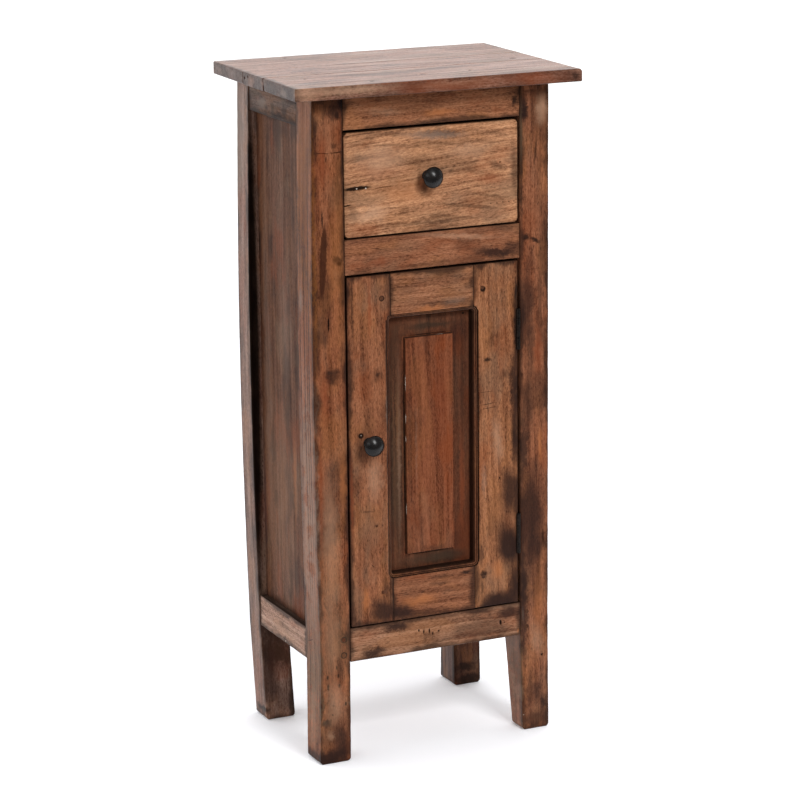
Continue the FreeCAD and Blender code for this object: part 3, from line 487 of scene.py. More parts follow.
# Tones of the edge grime, of the painted shade in a moulding's hollows, and of the wax's tint.
grimeTone, mouldingShade, waxTint = "#1e1614", "#120b08", "#8a5c40"
toneSpan = (0.32, 0.68)     # the part of a noise's range that the tone follows,
glossSpan = (0.3, 0.7)      # and the part that the roughness follows
ringSpan = 0.314            # width of a ring in a Wave texture of scale 1
outlines = {0.5: 3, 1.5: 9, 10: 34}     # how far a mark's outline wanders, and the length of its waves, mm
outlineSpread = 4           # brings the noise's quarter to either side up to the whole way
outlineShare = 0.6          # the most of its own radius by which a mark's outline wanders
markEdge = (1.05, 1.15)     # shares of its radius from which a mark's fading is taken, and where it ends


def tinted(tree, colour, mask, tint):
    # A colour with another over it where the mask is.
    return addNode(tree, "Mix", {"data_type": "RGBA", 7: linear(tint)}, {0: mask, 6: colour}).outputs[2]


def setSteps(ramp, steps):
    stops = ramp.color_ramp.elements
    while len(stops) < len(steps):
        stops.new(1)
    for stop, (position, colour) in zip(stops, steps):
        stop.position, stop.color = position, colour


def drawGrain(tree, place, look):
    # The noises of the figure, on a grain that wanders by a few mm over an arm's length.
    lean = math.radians(look["lean"])
    quarter = math.pi / 2
    turn = {0: (0, lean - quarter, 0), 1: (quarter + lean, 0, 0), 2: (0, lean, 0)}[look["grain"]]
    shift = [look["seed"] * step for step in seedSteps]
    grain = addNode(tree, "Mapping", {"Location": shift, "Rotation": turn, "Scale": (1 / mm,) * 3},
                    {"Vector": place})
    slowly = [1 / over for over in look["wanderOver"]]
    drift = addNode(tree, "VectorMath", {"operation": "MULTIPLY", 1: slowly}, {0: grain})
    drift = addNode(tree, "TexNoise", {"Scale": 1, "Detail": 1}, {"Vector": drift})
    flow = addNode(tree, "VectorMath", {"operation": "MULTIPLY_ADD", 1: (look["wander"], look["wander"], 0)},
                   {0: drift.outputs["Color"], 2: grain})
    figure = {"streaks": (look["streakWidth"], look["streakLength"], 4, 0.6), **teakFigure}
    drawn = {}
    for part, (wide, long, detail, roughness) in figure.items():
        scaled = addNode(tree, "VectorMath", {"operation": "MULTIPLY", 1: (1 / wide, 1 / wide, 1 / long)},
                         {0: flow})
        drawn[part] = addNode(tree, "TexNoise", {"Scale": 1, "Detail": detail, "Roughness": roughness},
                              {"Vector": scaled})
    slant = math.radians(look["ringLean"])
    heart = addNode(tree, "Mapping", {
        "Location": (look["ringPlace"][0] - shift[0], look["ringPlace"][1] - shift[1], 0),
        "Rotation": (slant, slant * look["ringTilt"], 0), "Scale": (1, 1, look["ringLength"])},
        {"Vector": flow})
    rings = addNode(tree, "TexWave", {
        "wave_type": "RINGS", "rings_direction": "Z", "wave_profile": "SAW",
        "Scale": ringSpan / look["ringWidth"], "Distortion": 3, "Detail": 2, "Detail Scale": 0.5},
        {"Vector": heart})
    drawn["rings"] = rings.outputs["Fac"]
    return drawn


def toneWood(tree, drawn, look):
    # Streaks, fibres, speckle and rings add up to the place on the way from dark to light.
    tone = None
    for part in ("streaks", "fibres", "speckle", "rings"):
        low, high = (0, 1) if part == "rings" else toneSpan
        share = addNode(tree, "MapRange", {"From Min": low, "From Max": high, "To Max": look[part]},
                        {"Value": drawn[part]})
        tone = share if tone is None else addNode(tree, "Math", {"operation": "ADD"}, {0: tone, 1: share})
    ramp = addNode(tree, "ValToRGB", {}, {"Fac": tone})
    middle = linear(look["tone"])
    setSteps(ramp, [(position, [m * (1 + look["contrast"] * c) for m, c in zip(middle, change)] + [1])
                    for position, change in toneSteps])
    return ramp.outputs["Color"]


def layPatches(tree, colour, place, drawn, look):
    # Patches of gold, red, grey and smoke share one slow noise, and gold and red lie on either
    # side of its middle. End grain is darker, and the faces that look into a gap get painted shade.
    slow = addNode(tree, "SeparateColor", {}, {0: drawn["patches"].outputs["Color"]}).outputs
    facing = addNode(tree, "SeparateXYZ", {}, {0: place.node.outputs["Normal"]}).outputs
    sideways = addNode(tree, "Math", {"operation": "ABSOLUTE"}, {0: facing[look["face"]]})
    sideways = addNode(tree, "Math", {"operation": "SUBTRACT", 0: 1}, {1: sideways})
    endGrain = addNode(tree, "Math", {"operation": "ABSOLUTE"}, {0: facing[look["grain"]]})
    sources = {"golds": slow[0], "reds": slow[0], "greys": slow[1], "pores": drawn["pores"], "smoke": slow[2],
               "endGrain": endGrain, "rim": sideways}
    masks = {}
    for part, (start, full, tint) in patchTones.items():
        masks[part] = addNode(tree, "MapRange", {
            "interpolation_type": "SMOOTHSTEP", "From Min": start, "From Max": full, "To Max": look[part]},
            {"Value": sources[part]})
        colour = tinted(tree, colour, masks[part], tint)
    return colour, masks["pores"]


def layGrime(tree, colour, place, drawn, look, box):
    # Grime by the way to the box's nearest edge, the middle one of the ways to its three sides.
    low, high = box
    way = addNode(tree, "VectorMath", {"operation": "SUBTRACT", 1: (low + high) / 2 * mm}, {0: place})
    way = addNode(tree, "VectorMath", {"operation": "ABSOLUTE"}, {0: way})
    way = addNode(tree, "VectorMath", {"operation": "SUBTRACT", 0: (high - low) / 2 * mm}, {1: way})
    ways = addNode(tree, "SeparateXYZ", {}, {0: way}).outputs
    nearest = addNode(tree, "Math", {"operation": "MINIMUM"}, {0: ways[0], 1: ways[1]})
    farthest = addNode(tree, "Math", {"operation": "MAXIMUM"}, {0: ways[0], 1: ways[1]})
    second = addNode(tree, "Math", {"operation": "MINIMUM"}, {0: farthest, 1: ways[2]})
    edge = addNode(tree, "Math", {"operation": "MAXIMUM"}, {0: nearest, 1: second})
    ragged = look["edgeRagged"]
    tide = addNode(tree, "Math", {"operation": "MULTIPLY_ADD", 1: -ragged, 2: ragged / 2}, {0: drawn["tide"]})
    darkness = addNode(tree, "Math", {"operation": "MULTIPLY_ADD", 1: 1 / (look["edgeReach"] * mm)},
                    {0: edge, 2: tide})
    darkness = addNode(tree, "MapRange", {"interpolation_type": "SMOOTHSTEP", "From Min": 1 - look["edgeSoft"],
                                       "To Min": look["edge"], "To Max": 0}, {"Value": darkness})
    return tinted(tree, colour, darkness, grimeTone)


def layBands(tree, colour, bands):
    # Painted shade in a moulding's hollows and on its inner wall, by the way in from its outer line.
    inward = addNode(tree, "Attribute", {"attribute_name": "inward"})
    ramp = addNode(tree, "ValToRGB", {}, {"Fac": inward.outputs["Fac"]})
    setSteps(ramp, [(distance, (darkness, darkness, darkness, 1)) for distance, darkness in bands])
    return tinted(tree, colour, ramp, mouldingShade)


def layMarks(tree, colour, place, spots):
    # The board's own old marks with some painted highlights and shade, and the pits that the deep
    # ones leave. A small mark has a finer outline. A shader holds only so many marks, and the front
    # left post's is close to that.
    ragged = {}
    for reach, length in outlines.items():
        wander = addNode(tree, "TexNoise", {"Scale": 1 / (length * mm), "Detail": 5, "Roughness": 0.7},
                         {"Vector": place})
        ragged[reach] = addNode(tree, "VectorMath", {"operation": "SUBTRACT", 1: (0.5, 0.5, 0.5)},
                                {0: wander.outputs["Color"]})
    pit = None
    for spot in spots:
        tint, _, fade, wander, depth = markKinds[spot["kind"]]
        smallest = min(radius for axis, radius in enumerate(spot["radii"]) if axis != spot["axis"])
        wander = min(wander, outlineShare * smallest)
        source = ragged[min(ragged, key=lambda reach: abs(reach - wander))]
        spread = (wander * outlineSpread * mm,) * 3
        edge = addNode(tree, "VectorMath", {"operation": "MULTIPLY_ADD", 1: spread}, {0: source, 2: place})
        local = addNode(tree, "Mapping", {
            "vector_type": "TEXTURE", "Location": spot["centre"] * mm, "Rotation": spot["turn"],
            "Scale": spot["radii"] * mm}, {"Vector": edge})
        away = addNode(tree, "VectorMath", {"operation": "LENGTH"}, {0: local})
        mask = addNode(tree, "MapRange", {
            "interpolation_type": "SMOOTHSTEP", "From Min": markEdge[0] - fade, "From Max": markEdge[1],
            "To Min": spot["strength"], "To Max": 0}, {"Value": away.outputs["Value"]})
        colour = tinted(tree, colour, mask, tint)
        if depth:
            pit = mask if pit is None else addNode(tree, "Math", {"operation": "MAXIMUM"}, {0: pit, 1: mask})
    return colour, pit


def waxedTeak(name, look, spots=(), box=None):
    # Reclaimed teak, planed by hand, stained and waxed: streaks and year rings along the grain,
    # short dark pores, smoky patches, grime along the edges, painted shade on faces that look into a gap
    # and in a moulding's hollows, a soft wax sheen, and its own old marks with some painted light and shade.
    look = {**teakLook, **look}
    material, tree = newMaterial(name)
    place = addNode(tree, "TexCoord").outputs["Object"]
    drawn = drawGrain(tree, place, look)
    colour = toneWood(tree, drawn, look)
    colour, pores = layPatches(tree, colour, place, drawn, look)
    if box:
        colour = layGrime(tree, colour, place, drawn, look, box)
    if look["bands"]:
        colour = layBands(tree, colour, look["bands"])
    colour, pit = layMarks(tree, colour, place, spots)
    rough = addNode(tree, "MapRange", {
        "From Min": glossSpan[0], "From Max": glossSpan[1], "To Min": look["gloss"] + look["sheen"],
        "To Max": look["gloss"] - look["sheen"]}, {"Value": drawn["streaks"]})
    relief = addNode(tree, "Math", {"operation": "MULTIPLY_ADD", 1: -look["poreDepth"]},
                     {0: pores, 2: drawn["fibres"]})
    if pit is not None:
        relief = addNode(tree, "Math", {"operation": "SUBTRACT"}, {0: relief, 1: pit})
    bump = addNode(tree, "Bump", look["bump"], {"Height": relief})
    # Stained wax gives back brown light head on, and white light only at a slant.
    wood = addNode(tree, "BsdfPrincipled", {"IOR": look["wax"], "Specular Tint": linear(waxTint)},
                   {"Base Color": colour, "Roughness": rough, "Normal": bump})
    addNode(tree, "OutputMaterial", {}, {"Surface": wood})
    return material


def plainFinish(name, colour, secondColour, grit, roughness, metallic=0, index=1.5, bumpDepth=0.0001):
    # A small turned, cast or drawn part: two close tones in a fine grit, and a slight unevenness.
    material, tree = newMaterial(name)
    place = addNode(tree, "TexCoord").outputs["Object"]
    cloud = addNode(tree, "TexNoise", {"Scale": 1 / (grit * mm), "Detail": 4}, {"Vector": place})
    ramp = addNode(tree, "ValToRGB", {}, {"Fac": cloud})
    setSteps(ramp, ((0.38, linear(colour)), (0.64, linear(secondColour))))
    rough = addNode(tree, "MapRange", {
        "From Min": glossSpan[0], "From Max": glossSpan[1], "To Min": roughness * 0.75,
        "To Max": roughness * 1.25}, {"Value": cloud})
    bump = addNode(tree, "Bump", {"Strength": 0.3, "Distance": bumpDepth}, {"Height": cloud})
    skin = addNode(tree, "BsdfPrincipled", {"Metallic": metallic, "IOR": index},
                   {"Base Color": ramp, "Roughness": rough, "Normal": bump})
    addNode(tree, "OutputMaterial", {}, {"Surface": skin})
    return material


def makeBoard(name, node, body, slot, cut, look, marks=(), grimeBox=None, **sides):
    # One board in its finish. Its sides are those of the CAD node apart from the ones given, and
    # the grime keeps to its edges or to those of another box.
    low, high = [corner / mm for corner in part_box(node)]
    for axis, (lowSide, highSide) in enumerate((("left", "right"), ("front", "back"), ("bottom", "top"))):
        low[axis] = sides.get(lowSide, low[axis])
        high[axis] = sides.get(highSide, high[axis])
    spots = spotsOn(low, high, marks)
    piece = sawnBoard(name, low, high, cut, spots)
    fit(piece, body, slot, waxedTeak(name + "Teak", look, spots, grimeBox or (low, high)), node)
    return piece


# The top is three boards glued edge to edge, its right end turned a little to the front.
topSettings = {
    "halfWidth": 198.4, "front": -145.9, "frontSeam": -35, "backSeam": 35, "back": 146,
    "cornerRadius": 2.2, "endRadius": 5, "seamArris": 0.5,
    "corners": {"top_front_board": [(-1, -1), (1, -1)], "top_back_board": [(-1, 1), (1, 1)]},
    "cut": {"arris": 1.8, "turn": -1.4, "wavy": 0.35},
    "look": {"grain": 0, "tone": "#7b5748", "greys": 0.4, "reds": 0.1, "golds": 0.1, "wax": 1.4, "edge": 0.5,
             "contrast": 1.5, "speckle": 0.5, "streaks": 0.28, "smoke": 0.45, "streakWidth": 5.5,
             "streakLength": 150, "gloss": 0.4, "lean": -1.4},
}
topMarks = {
    "top_front_board": [
        ("top", 289.5, 73, "dent", 13, 9, 1, 20), ("top", 336, 59, "dent", 10, 9, 1, 10),
        ("top", 305, 79, "dent", 5, 7), ("top", 423, 74, "dent", 12, 9, 1, -10),
        ("top", 470, 70, "dent", 6, 7), ("top", 372, 81, "dent", 8, 6, 1, 10),
        ("top", 336, 80, "shade", 60, 14), ("top", 500, 75, "shade", 70, 10),
        ("top", 525, 72, "shade", 110, 90, 0.6), ("left", 264.5, 89, "crack", 2.5, 9),
        ("left", 252, 81, "hole", 5, 5), ("left", 288, 92, "char", 34, 16, 0.7),
        ("purple", (-200, -90, 890), (6, 80, 30)), ("smoke", (-201.5, -118, 891), (5, 36, 18), 0.8),
        ("smoke", (-200.5, -60, 887), (5, 36, 16), 0.8), ("smoke", (-201, -90, 889), (5, 90, 14), 0.5),
        ("red", (-90, -146, 899.5), (110, 4, 2.4)), ("left", 257, 86, "line", 16, 1.5, 1, -8),
        ("left", 285, 94, "grey", 30, 12), ("left", 276, 99, "glint", 50, 1.5, 0.5),
        (306, 96, "pale", 60, 26, 0.7), (301, 101, "shade", 20, 5, 0.5, -20),
        (415, 86, "stain", 50, 14, 0.6), (350, 97, "shade", 50, 8, 0.5), (345, 91, "pale", 190, 16, 0.9),
        (450, 84, "pale", 120, 10, 0.6), (450, 85, "red", 220, 24, 1.2), (540, 79, "red", 130, 24, 1.2),
        (470, 84, "shade", 170, 20, 0.4), (574, 76, "stain", 12, 18, 0.8), (568, 75, "smoke", 40, 24, 0.45),
        (577, 78, "glint", 3, 3),
    ],
    "top_middle_board": [
        ("top", 272, 67, "dent", 15, 9, 1, 15), ("top", 410, 55, "dent", 7, 8),
        ("top", 494, 52, "dent", 9, 8), ("top", 513, 58, "dent", 12, 8, 1, -12),
        ("top", 318, 62, "dent", 8, 7), ("top", 450, 58, "shade", 80, 14),
        ("top", 500, 60, "shade", 120, 80, 0.5), ("left", 244, 78, "hole", 4, 4),
        ("left", 247.5, 77, "hole", 3, 4), ("left", 240, 76, "grey", 26, 12),
        ("purple", (-200, 0, 890), (6, 60, 30)), ("smoke", (-198.6, -12, 890), (5, 32, 16), 0.8),
        ("smoke", (-198, 30, 888), (5, 24, 14), 0.7),
    ],
    "top_back_board": [
        ("top", 285, 58, "dent", 8, 9), ("top", 380, 47, "dent", 8, 8), ("top", 430, 43, "dent", 7, 8),
        ("top", 330, 46, "shade", 80, 16), ("left", 230, 73, "grey", 50, 14),
        ("purple", (-200, 90, 890), (6, 80, 30)), ("smoke", (-196, 60, 889), (5, 30, 14), 0.6),
        ("smoke", (-195.5, 112, 889), (5, 40, 16), 0.8),
    ],
}


def makeTop():
    settings = topSettings
    half = settings["halfWidth"]
    seams = [settings[place] for place in ("front", "frontSeam", "backSeam", "back")]
    for seed, (node, marks) in enumerate(topMarks.items()):
        front, back = seams[seed:seed + 2]
        corners = settings["corners"].get(node, [])
        cut = {**settings["cut"], "seed": seed + 1, "corners": [
            ((0, 2), settings["endRadius"], [(1, 1)]), ((0, 1), settings["cornerRadius"], corners)]}
        if not corners:
            cut["arris"] = settings["seamArris"]
        look = {**settings["look"], "seed": seed + 1, "ringPlace": (20 + 30 * seed, 60 - 45 * seed)}
        low, high = [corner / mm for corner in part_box(node)]
        whole = Vector((-half, seams[0], low.z)), Vector((half, seams[-1], high.z))
        makeBoard(node + "Worn", node, "frame", "teak_top", cut, look, marks, whole,
                  left=-half, right=half, front=front, back=back)


makeTop()
print("top boards laid")


# The posts run down as legs. A foot is drawn in on its left, right, front and back.
postSettings = {
    "inner": 125, "outer": 167,     # from the middle of the table
    "rows": {"front": (-110, -60), "back": (97, 137)},
    "top": 883,
    "cut": {"arris": 1.8, "step": 4.4, "wear": 1.5, "corners": [((0, 2), 4.5, [(-1, -1), (1, -1)])]},
    "look": {"streakWidth": 8, "streakLength": 200},
}
posts = {
    "front_left_post": {
        "foot": (-3, 1, 0, 5), "bow": 4, "look": {"tone": "#7c4b33", "wax": 1.18, "ringPlace": (150, 40)},
        "marks": [
            # The shade, smoke and chars at the post's top are a stain with painted shadow under the top's
            # overhang.
            (332, 98, "shade", 44, 26), (337, 116, "knot", 8, 14), (334, 112, "stain", 18, 26, 0.7),
            (322, 153.6, "crack", 20, 1.6, 0.8, -5), (337, 152.6, "crack", 22, 1.5, 0.9, 3),
            (334, 146, "stain", 12, 12, 0.6), (326, 160, "streak", 3, 10), (338, 261, "stain", 16, 18, 0.8),
            (331, 108, "smoke", 40, 30, 0.7), (322, 220, "stain", 3, 30), (338, 190, "shade", 14, 110),
            (342, 170, "stain", 4, 150, 0.7), (323.2, 262, "paint", 9.6, 98, 1, -3),
            (322, 160, "red", 12, 90), (339, 264, "knot", 6, 7), (328.5, 325, "crack", 2.4, 22),
            (333, 372, "shade", 34, 9), (331, 377, "stain", 34, 26, 0.8), (343, 480, "glow", 14, 130, 0.8),
            (325, 400, "red", 16, 90), (337, 539, "line", 30, 1, 0.6), (344, 640, "nail", 9.4, 9.4),
            (344, 655.5, "nail", 9.4, 9.4), (346, 637, "stain", 14, 22, 0.6), (328, 678, "hole", 2.4, 7),
            (328.4, 688, "hole", 2.4, 10), (337, 668, "hole", 2.2, 6), (338.5, 676, "hole", 2.2, 7),
            (339.5, 686, "hole", 2.2, 6), (346, 704, "hole", 2.4, 7), (334, 706, "hole", 2.4, 4),
            (326, 723, "knot", 17, 8, 1, 12), (333, 715, "hole", 2, 4), (343, 741, "smoke", 34, 60, 0.85),
            (330, 757, "smoke", 76, 26, 0.75), ("left", 312, 752, "char", 50, 18, 0.8),
            (327, 724, "stain", 16, 14, 0.8), (331, 736, "pale", 14, 18, 0.5, 30),
            (322, 708, "stain", 10, 50, 0.7), (334, 640, "dust", 60, 220, 0.7),
            (331, 640, "pale", 30, 170, 0.25), (340, 668, "shade", 14, 60),
            (331, 540, "pale", 34, 260, 0.5), (336, 240, "ochre", 26, 300, 0.3), (341, 103, "char", 24, 22),
            (320, 101, "char", 14, 16, 0.6), ("ochre", (-167, -85, 690), (4, 40, 260)),
            ("grey", (-170, -85, 330), (5, 40, 240)), ("pale", (-170, -85, 330), (5, 30, 240), 0.3),
            ("dust", (-167, -85, 110), (4, 40, 150), 1.2), ("line", (-170, -96, 520), (5, 1.6, 340)),
            ("line", (-170, -90, 420), (5, 0.9, 300)), ("line", (-170, -82, 460), (5, 1.3, 400)),
            ("line", (-170, -70, 560), (5, 1.2, 300)), ("line", (-167, -90, 110), (4, 0.8, 110)),
            ("line", (-167, -74, 130), (4, 0.8, 120)), ("smoke", (-167, -100, 20), (4, 14, 22), 0.8),
            (321, 500, "red", 8, 260, 0.7), ("left", 303, 300, "grey", 16, 40),
            ("left", 311, 640, "line", 22, 1.6, 1, 20), ("left", 309, 200, "shade", 8, 160, 0.7),
            ("left", 306, 230, "shade", 60, 400, 0.7), ("left", 309, 755, "stain", 40, 12),
            ("pale", (-169, -82, 62), (6, 26, 60), 0.35), ("smoke", (-170, -85, 6), (6, 34, 13), 0.8),
            (334, 704, "pale", 38, 70, 0.6), (330, 758, "smoke", 50, 22, 0.9),
        ],
    },
    "front_right_post": {
        "foot": (4, -1.5, 1, 16), "look": {"tone": "#7f4f38", "ringPlace": (-60, 50)},
        "marks": [
            (530, 91, "stain", 30, 6, 0.4), (524, 111, "stain", 14, 30), (521.5, 170, "stain", 4, 220, 0.6),
            (535.5, 150, "streak", 4, 48, 1, -4), (521, 130, "dust", 5, 120, 0.8),
            (526, 237, "stain", 14, 10, 1, -20), (535, 240, "stain", 20, 7, 1, -24),
            (527, 308, "smoke", 28, 120, 0.9), (531, 514, "smoke", 56, 160),
            (534, 548, "smoke", 34, 50, 0.7, -30), (527, 400, "shade", 20, 160),
            (524, 450, "smoke", 18, 90, 0.9), (524, 106, "smoke", 16, 46, 0.8),
            (541, 108, "pale", 24, 50, 0.9), (540, 300, "shade", 14, 200), (530, 262, "smoke", 18, 50, 0.5),
            (531, 345, "smoke", 16, 80, 0.6), (524, 582, "smoke", 14, 90, 0.9),
            (538, 190, "shade", 16, 120, 0.6), (533, 269, "line", 26, 1, 0.5), (540, 445, "glow", 8, 60),
            (543, 536, "knot", 6, 26), (522, 374, "knot", 5, 8), (523, 614, "grey", 5, 26),
            (538, 600, "glow", 18, 110, 0.8), (524, 620, "smoke", 14, 150, 0.8),
            (534, 585, "shade", 30, 90), (536, 640, "pale", 24, 60, 0.5), (542.2, 654.3, "hole", 4.2, 4.2),
            (537, 692, "smoke", 18, 40, 0.8), (534, 718, "smoke", 60, 26, 0.8), (543, 702, "char", 12, 30),
            ("dust", (125, -85, 90), (4, 40, 110)), ("line", (125, -85, 15), (3, 40, 0.9)),
            ("pale", (125, -85, 48), (5, 34, 90), 0.55), (530, 690, "smoke", 12, 80, 0.6),
            (537, 706, "shade", 50, 70, 0.45), (524, 715, "glint", 2.4, 1.6, 0.4),
            (522, 680, "dust", 4, 110, 0.7), (538, 350, "red", 16, 80),
        ],
    },
    "back_left_post": {
        "foot": (1, -1.5, -14, 15), "bow": 5.5,
        "look": {"tone": "#7b6054", "greys": 0.4, "wax": 1.25, "ringPlace": (90, -30)},
        "marks": [
            # The seam on the front face, in the recess by the side panel, is painted shade with grime.
            ("seam", (-167.5, 97, 520), (9.5, 3, 400)), ("smoke", (-145, 96, 130), (30, 8, 34)),
            ("smoke", (-160, 92, 92), (18, 8, 40), 0.9), ("smoke", (-160, 88, 50), (18, 8, 40), 0.8),
            ("smoke", (-142, 91, 84), (16, 8, 40), 0.5), ("smoke", (-140, 86, 30), (20, 8, 24), 0.5),
            ("shade", (-145, 97, 80), (26, 8, 120)), ("shade", (-145, 97, 40), (26, 8, 90)),
            ("smoke", (-145, 97, 8), (34, 6, 14), 0.8), ("left", 241, 345, "line", 40, 1.6, 1, 30),
            ("left", 242, 350, "shade", 40, 10), ("left", 240, 130, "grey", 50, 200),
            (278, 712, "stain", 60, 14), ("left", 262, 708, "stain", 60, 12), (276, 650, "shade", 40, 60),
        ],
    },
    "back_right_post": {
        "foot": (0.5, 0.5, -3, -4), "look": {"tone": "#4a3128", "ringPlace": (40, 60)},
        "marks": [
            (466, 666, "stain", 40, 16), (468, 677, "stain", 60, 16),
        ],
    },
}


def makePosts():
    settings = postSettings
    for seed, (node, post) in enumerate(posts.items(), 4):
        row, side, _ = node.split("_")
        front, back = settings["rows"][row]
        left, rightSide = settings["inner"], settings["outer"]
        if side == "left":
            left, rightSide = -rightSide, -left
        bow = post.get("bow", 0)
        makeBoard(node + "Worn", node, "frame", "teak_frame",
                  {**settings["cut"], "foot": post["foot"], "bow": bow, "seed": seed},
                  {**settings["look"], "seed": seed, **post["look"]}, post["marks"],
                  (Vector((left - bow * 0.6, front, 0)), Vector((rightSide, back, settings["top"]))),
                  left=left, right=rightSide, front=front, back=back, bottom=0, top=settings["top"])


makePosts()
print("posts stood up")


# Rails between the posts, and the panels in the sides and the back.
railSettings = {
    "shoulder": 124.75,     # front and back rails end this far from the middle, a hair short of the posts,
    "front": -59.75,        # and side rails end here
    "back": 96.75,
    "cut": {"arris": 0.8, "step": 4.2, "wear": 1.0},
    # rim: painted shade on the rails' faces that look into the gaps
    "look": {"grain": 0, "rim": 0.7, "streakLength": 120},
}
frontRails = {
    "front_top_rail": {"look": {"tone": "#895a40"}, "marks": [
        (400, 110, "shade", 230, 12, 0.4), (385, 112, "pale", 60, 14, 0.4, -5), (515, 100, "stain", 16, 20),
        (440, 112, "glow", 60, 12),
    ]},
    "front_middle_rail": {"look": {"tone": "#84553d", "edge": 0.3}, "marks": [
        (498, 252, "smoke", 80, 15, 1, -7), (512, 246, "smoke", 24, 16, 0.6),
        (378, 249, "streak", 22, 3, 0.7, -12), (440, 262, "shade", 150, 10, 0.6),
        (460, 236, "pale", 150, 10, 0.6, -7), (520.5, 233, "glint", 2.5, 18, 0.5),
        (380, 262, "red", 40, 18),
    ]},
    "front_bottom_rail": {
        "look": {"tone": "#825c46", "ringWidth": 12, "rings": 0.34, "streaks": 0.24, "greys": 0.3},
        "marks": [
            (398, 627, "smoke", 50, 16), (374, 652, "smoke", 44, 18, 1, 4),
            (508, 612, "smoke", 40, 22, 0.9), (450, 615, "shade", 60, 12), (419, 630.5, "hole", 2.4, 4),
            (424, 632, "hole", 2.4, 7), (429.5, 631, "hole", 2.6, 8), (433, 633.5, "hole", 2.2, 5),
            (439, 631, "hole", 3, 3), (500.7, 622.3, "crack", 4, 8, 1, 10), (504.4, 622.3, "hole", 2, 2),
            (518, 630.7, "glow", 4, 7), (430, 636, "shade", 34, 14), (350, 640, "shade", 10, 40),
            (460, 645, "glint", 90, 1.2, 0.35),
        ]},
}
sideSettings = {
    "railCut": {"arris": 0.9, "step": 4.4, "wear": 1.1},
    # rim: painted shade on the side rails' faces that look into the gaps
    "railLook": {"grain": 1, "face": 0, "rim": 0.8, "wax": 1.12},
    "rails": {"top": {"tone": "#4f3d35", "greys": 0.3, "contrast": 1.5, "seed": 3},
              "bottom": {"tone": "#967766", "greys": 0.5, "contrast": 1.12, "seed": 6}},
    "panelCut": {"arris": 0.6, "step": 5.5, "wear": 0.3, "wavy": 0.6},
    "panelLook": {"tone": "#593b2c", "greys": 0.25, "golds": 0.08, "streakWidth": 7, "wax": 1.12, "edge": 0.6,
                  "edgeReach": 12, "ringPlace": (-60, 20)},
}
sideMarks = {       # the photograph shows the left side only
    "left_top_rail": [
        ("left", 266, 107, "knot", 14, 8), ("left", 262, 104, "grey", 40, 20),
        ("left", 284, 113, "stain", 16, 30, 0.6), ("left", 272, 107, "stain", 14, 22, 0.6, 20),
        ("left", 279, 115, "smoke", 30, 8, 0.7, -20), ("left", 251, 105, "shade", 12, 30),
    ],
    "left_bottom_rail": [
        ("left", 285.6, 641, "glint", 2.5, 2.5), ("left", 263, 612, "line", 16, 1.6, 1, -20),
        ("left", 285, 632, "pale", 90, 16, 0.6, -6),
    ],
    "left_side_panel": [
        ("left", 267, 350, "grey", 26, 600, 0.45), ("left", 292, 200, "shade", 16, 140),
        ("left", 303, 250, "stain", 6, 170, 0.7), ("left", 286, 330, "grey", 40, 170, 0.3),
        ("left", 295, 480, "glow", 14, 160, 0.5), ("left", 281, 490, "pale", 130, 330, 0.25),
        ("left", 265, 500, "purple", 14, 200), ("left", 282, 130, "shade", 70, 30),
    ],
}
backSettings = {
    "look": {"tone": "#72513f", "greys": 0.25},
    "panelCut": {"arris": 0.6, "step": 6.5, "wear": 0.3, "wavy": 0.6, "seed": 23},
    "panelLook": {"seed": 23, "streakWidth": 12, "edgeReach": 14},
}


def makeFrontRails():
    settings = railSettings
    for seed, (node, rail) in enumerate(frontRails.items()):
        makeBoard(node + "Worn", node, "frame", "teak_frame", {**settings["cut"], "seed": seed + 9},
                  {**settings["look"], "seed": seed + 9, "ringPlace": (45, -30 + 20 * seed), **rail["look"]},
                  rail["marks"], left=-settings["shoulder"], right=settings["shoulder"])


def makeSides():
    settings = sideSettings
    for seed, side in enumerate(("left", "right")):
        for height, look in settings["rails"].items():
            node = side + "_" + height + "_rail"
            makeBoard(node + "Worn", node, "frame", "teak_sides", {**settings["railCut"], "seed": seed + 13},
                      {**settings["railLook"], **look, "seed": seed * 2 + look["seed"]},
                      sideMarks.get(node, ()), front=railSettings["front"], back=railSettings["back"])
        node = side + "_side_panel"
        makeBoard(side + "PanelWorn", node, "frame", "teak_sides",
                  {**settings["panelCut"], "seed": seed + 17}, {**settings["panelLook"], "seed": seed + 17},
                  sideMarks.get(node, ()))


def makeBack():
    settings = backSettings
    for seed, node in enumerate(("back_top_rail", "back_bottom_rail"), 20):
        makeBoard(node + "Worn", node, "frame", "teak_sides", {**sideSettings["railCut"], "seed": seed},
                  {**settings["look"], "grain": 0, "seed": seed},
                  left=-railSettings["shoulder"], right=railSettings["shoulder"])
    makeBoard("backPanelWorn", "back_panel", "frame", "teak_sides", settings["panelCut"],
              {**settings["look"], **settings["panelLook"]})


makeFrontRails()
makeSides()
makeBack()
print("rails and panels in")


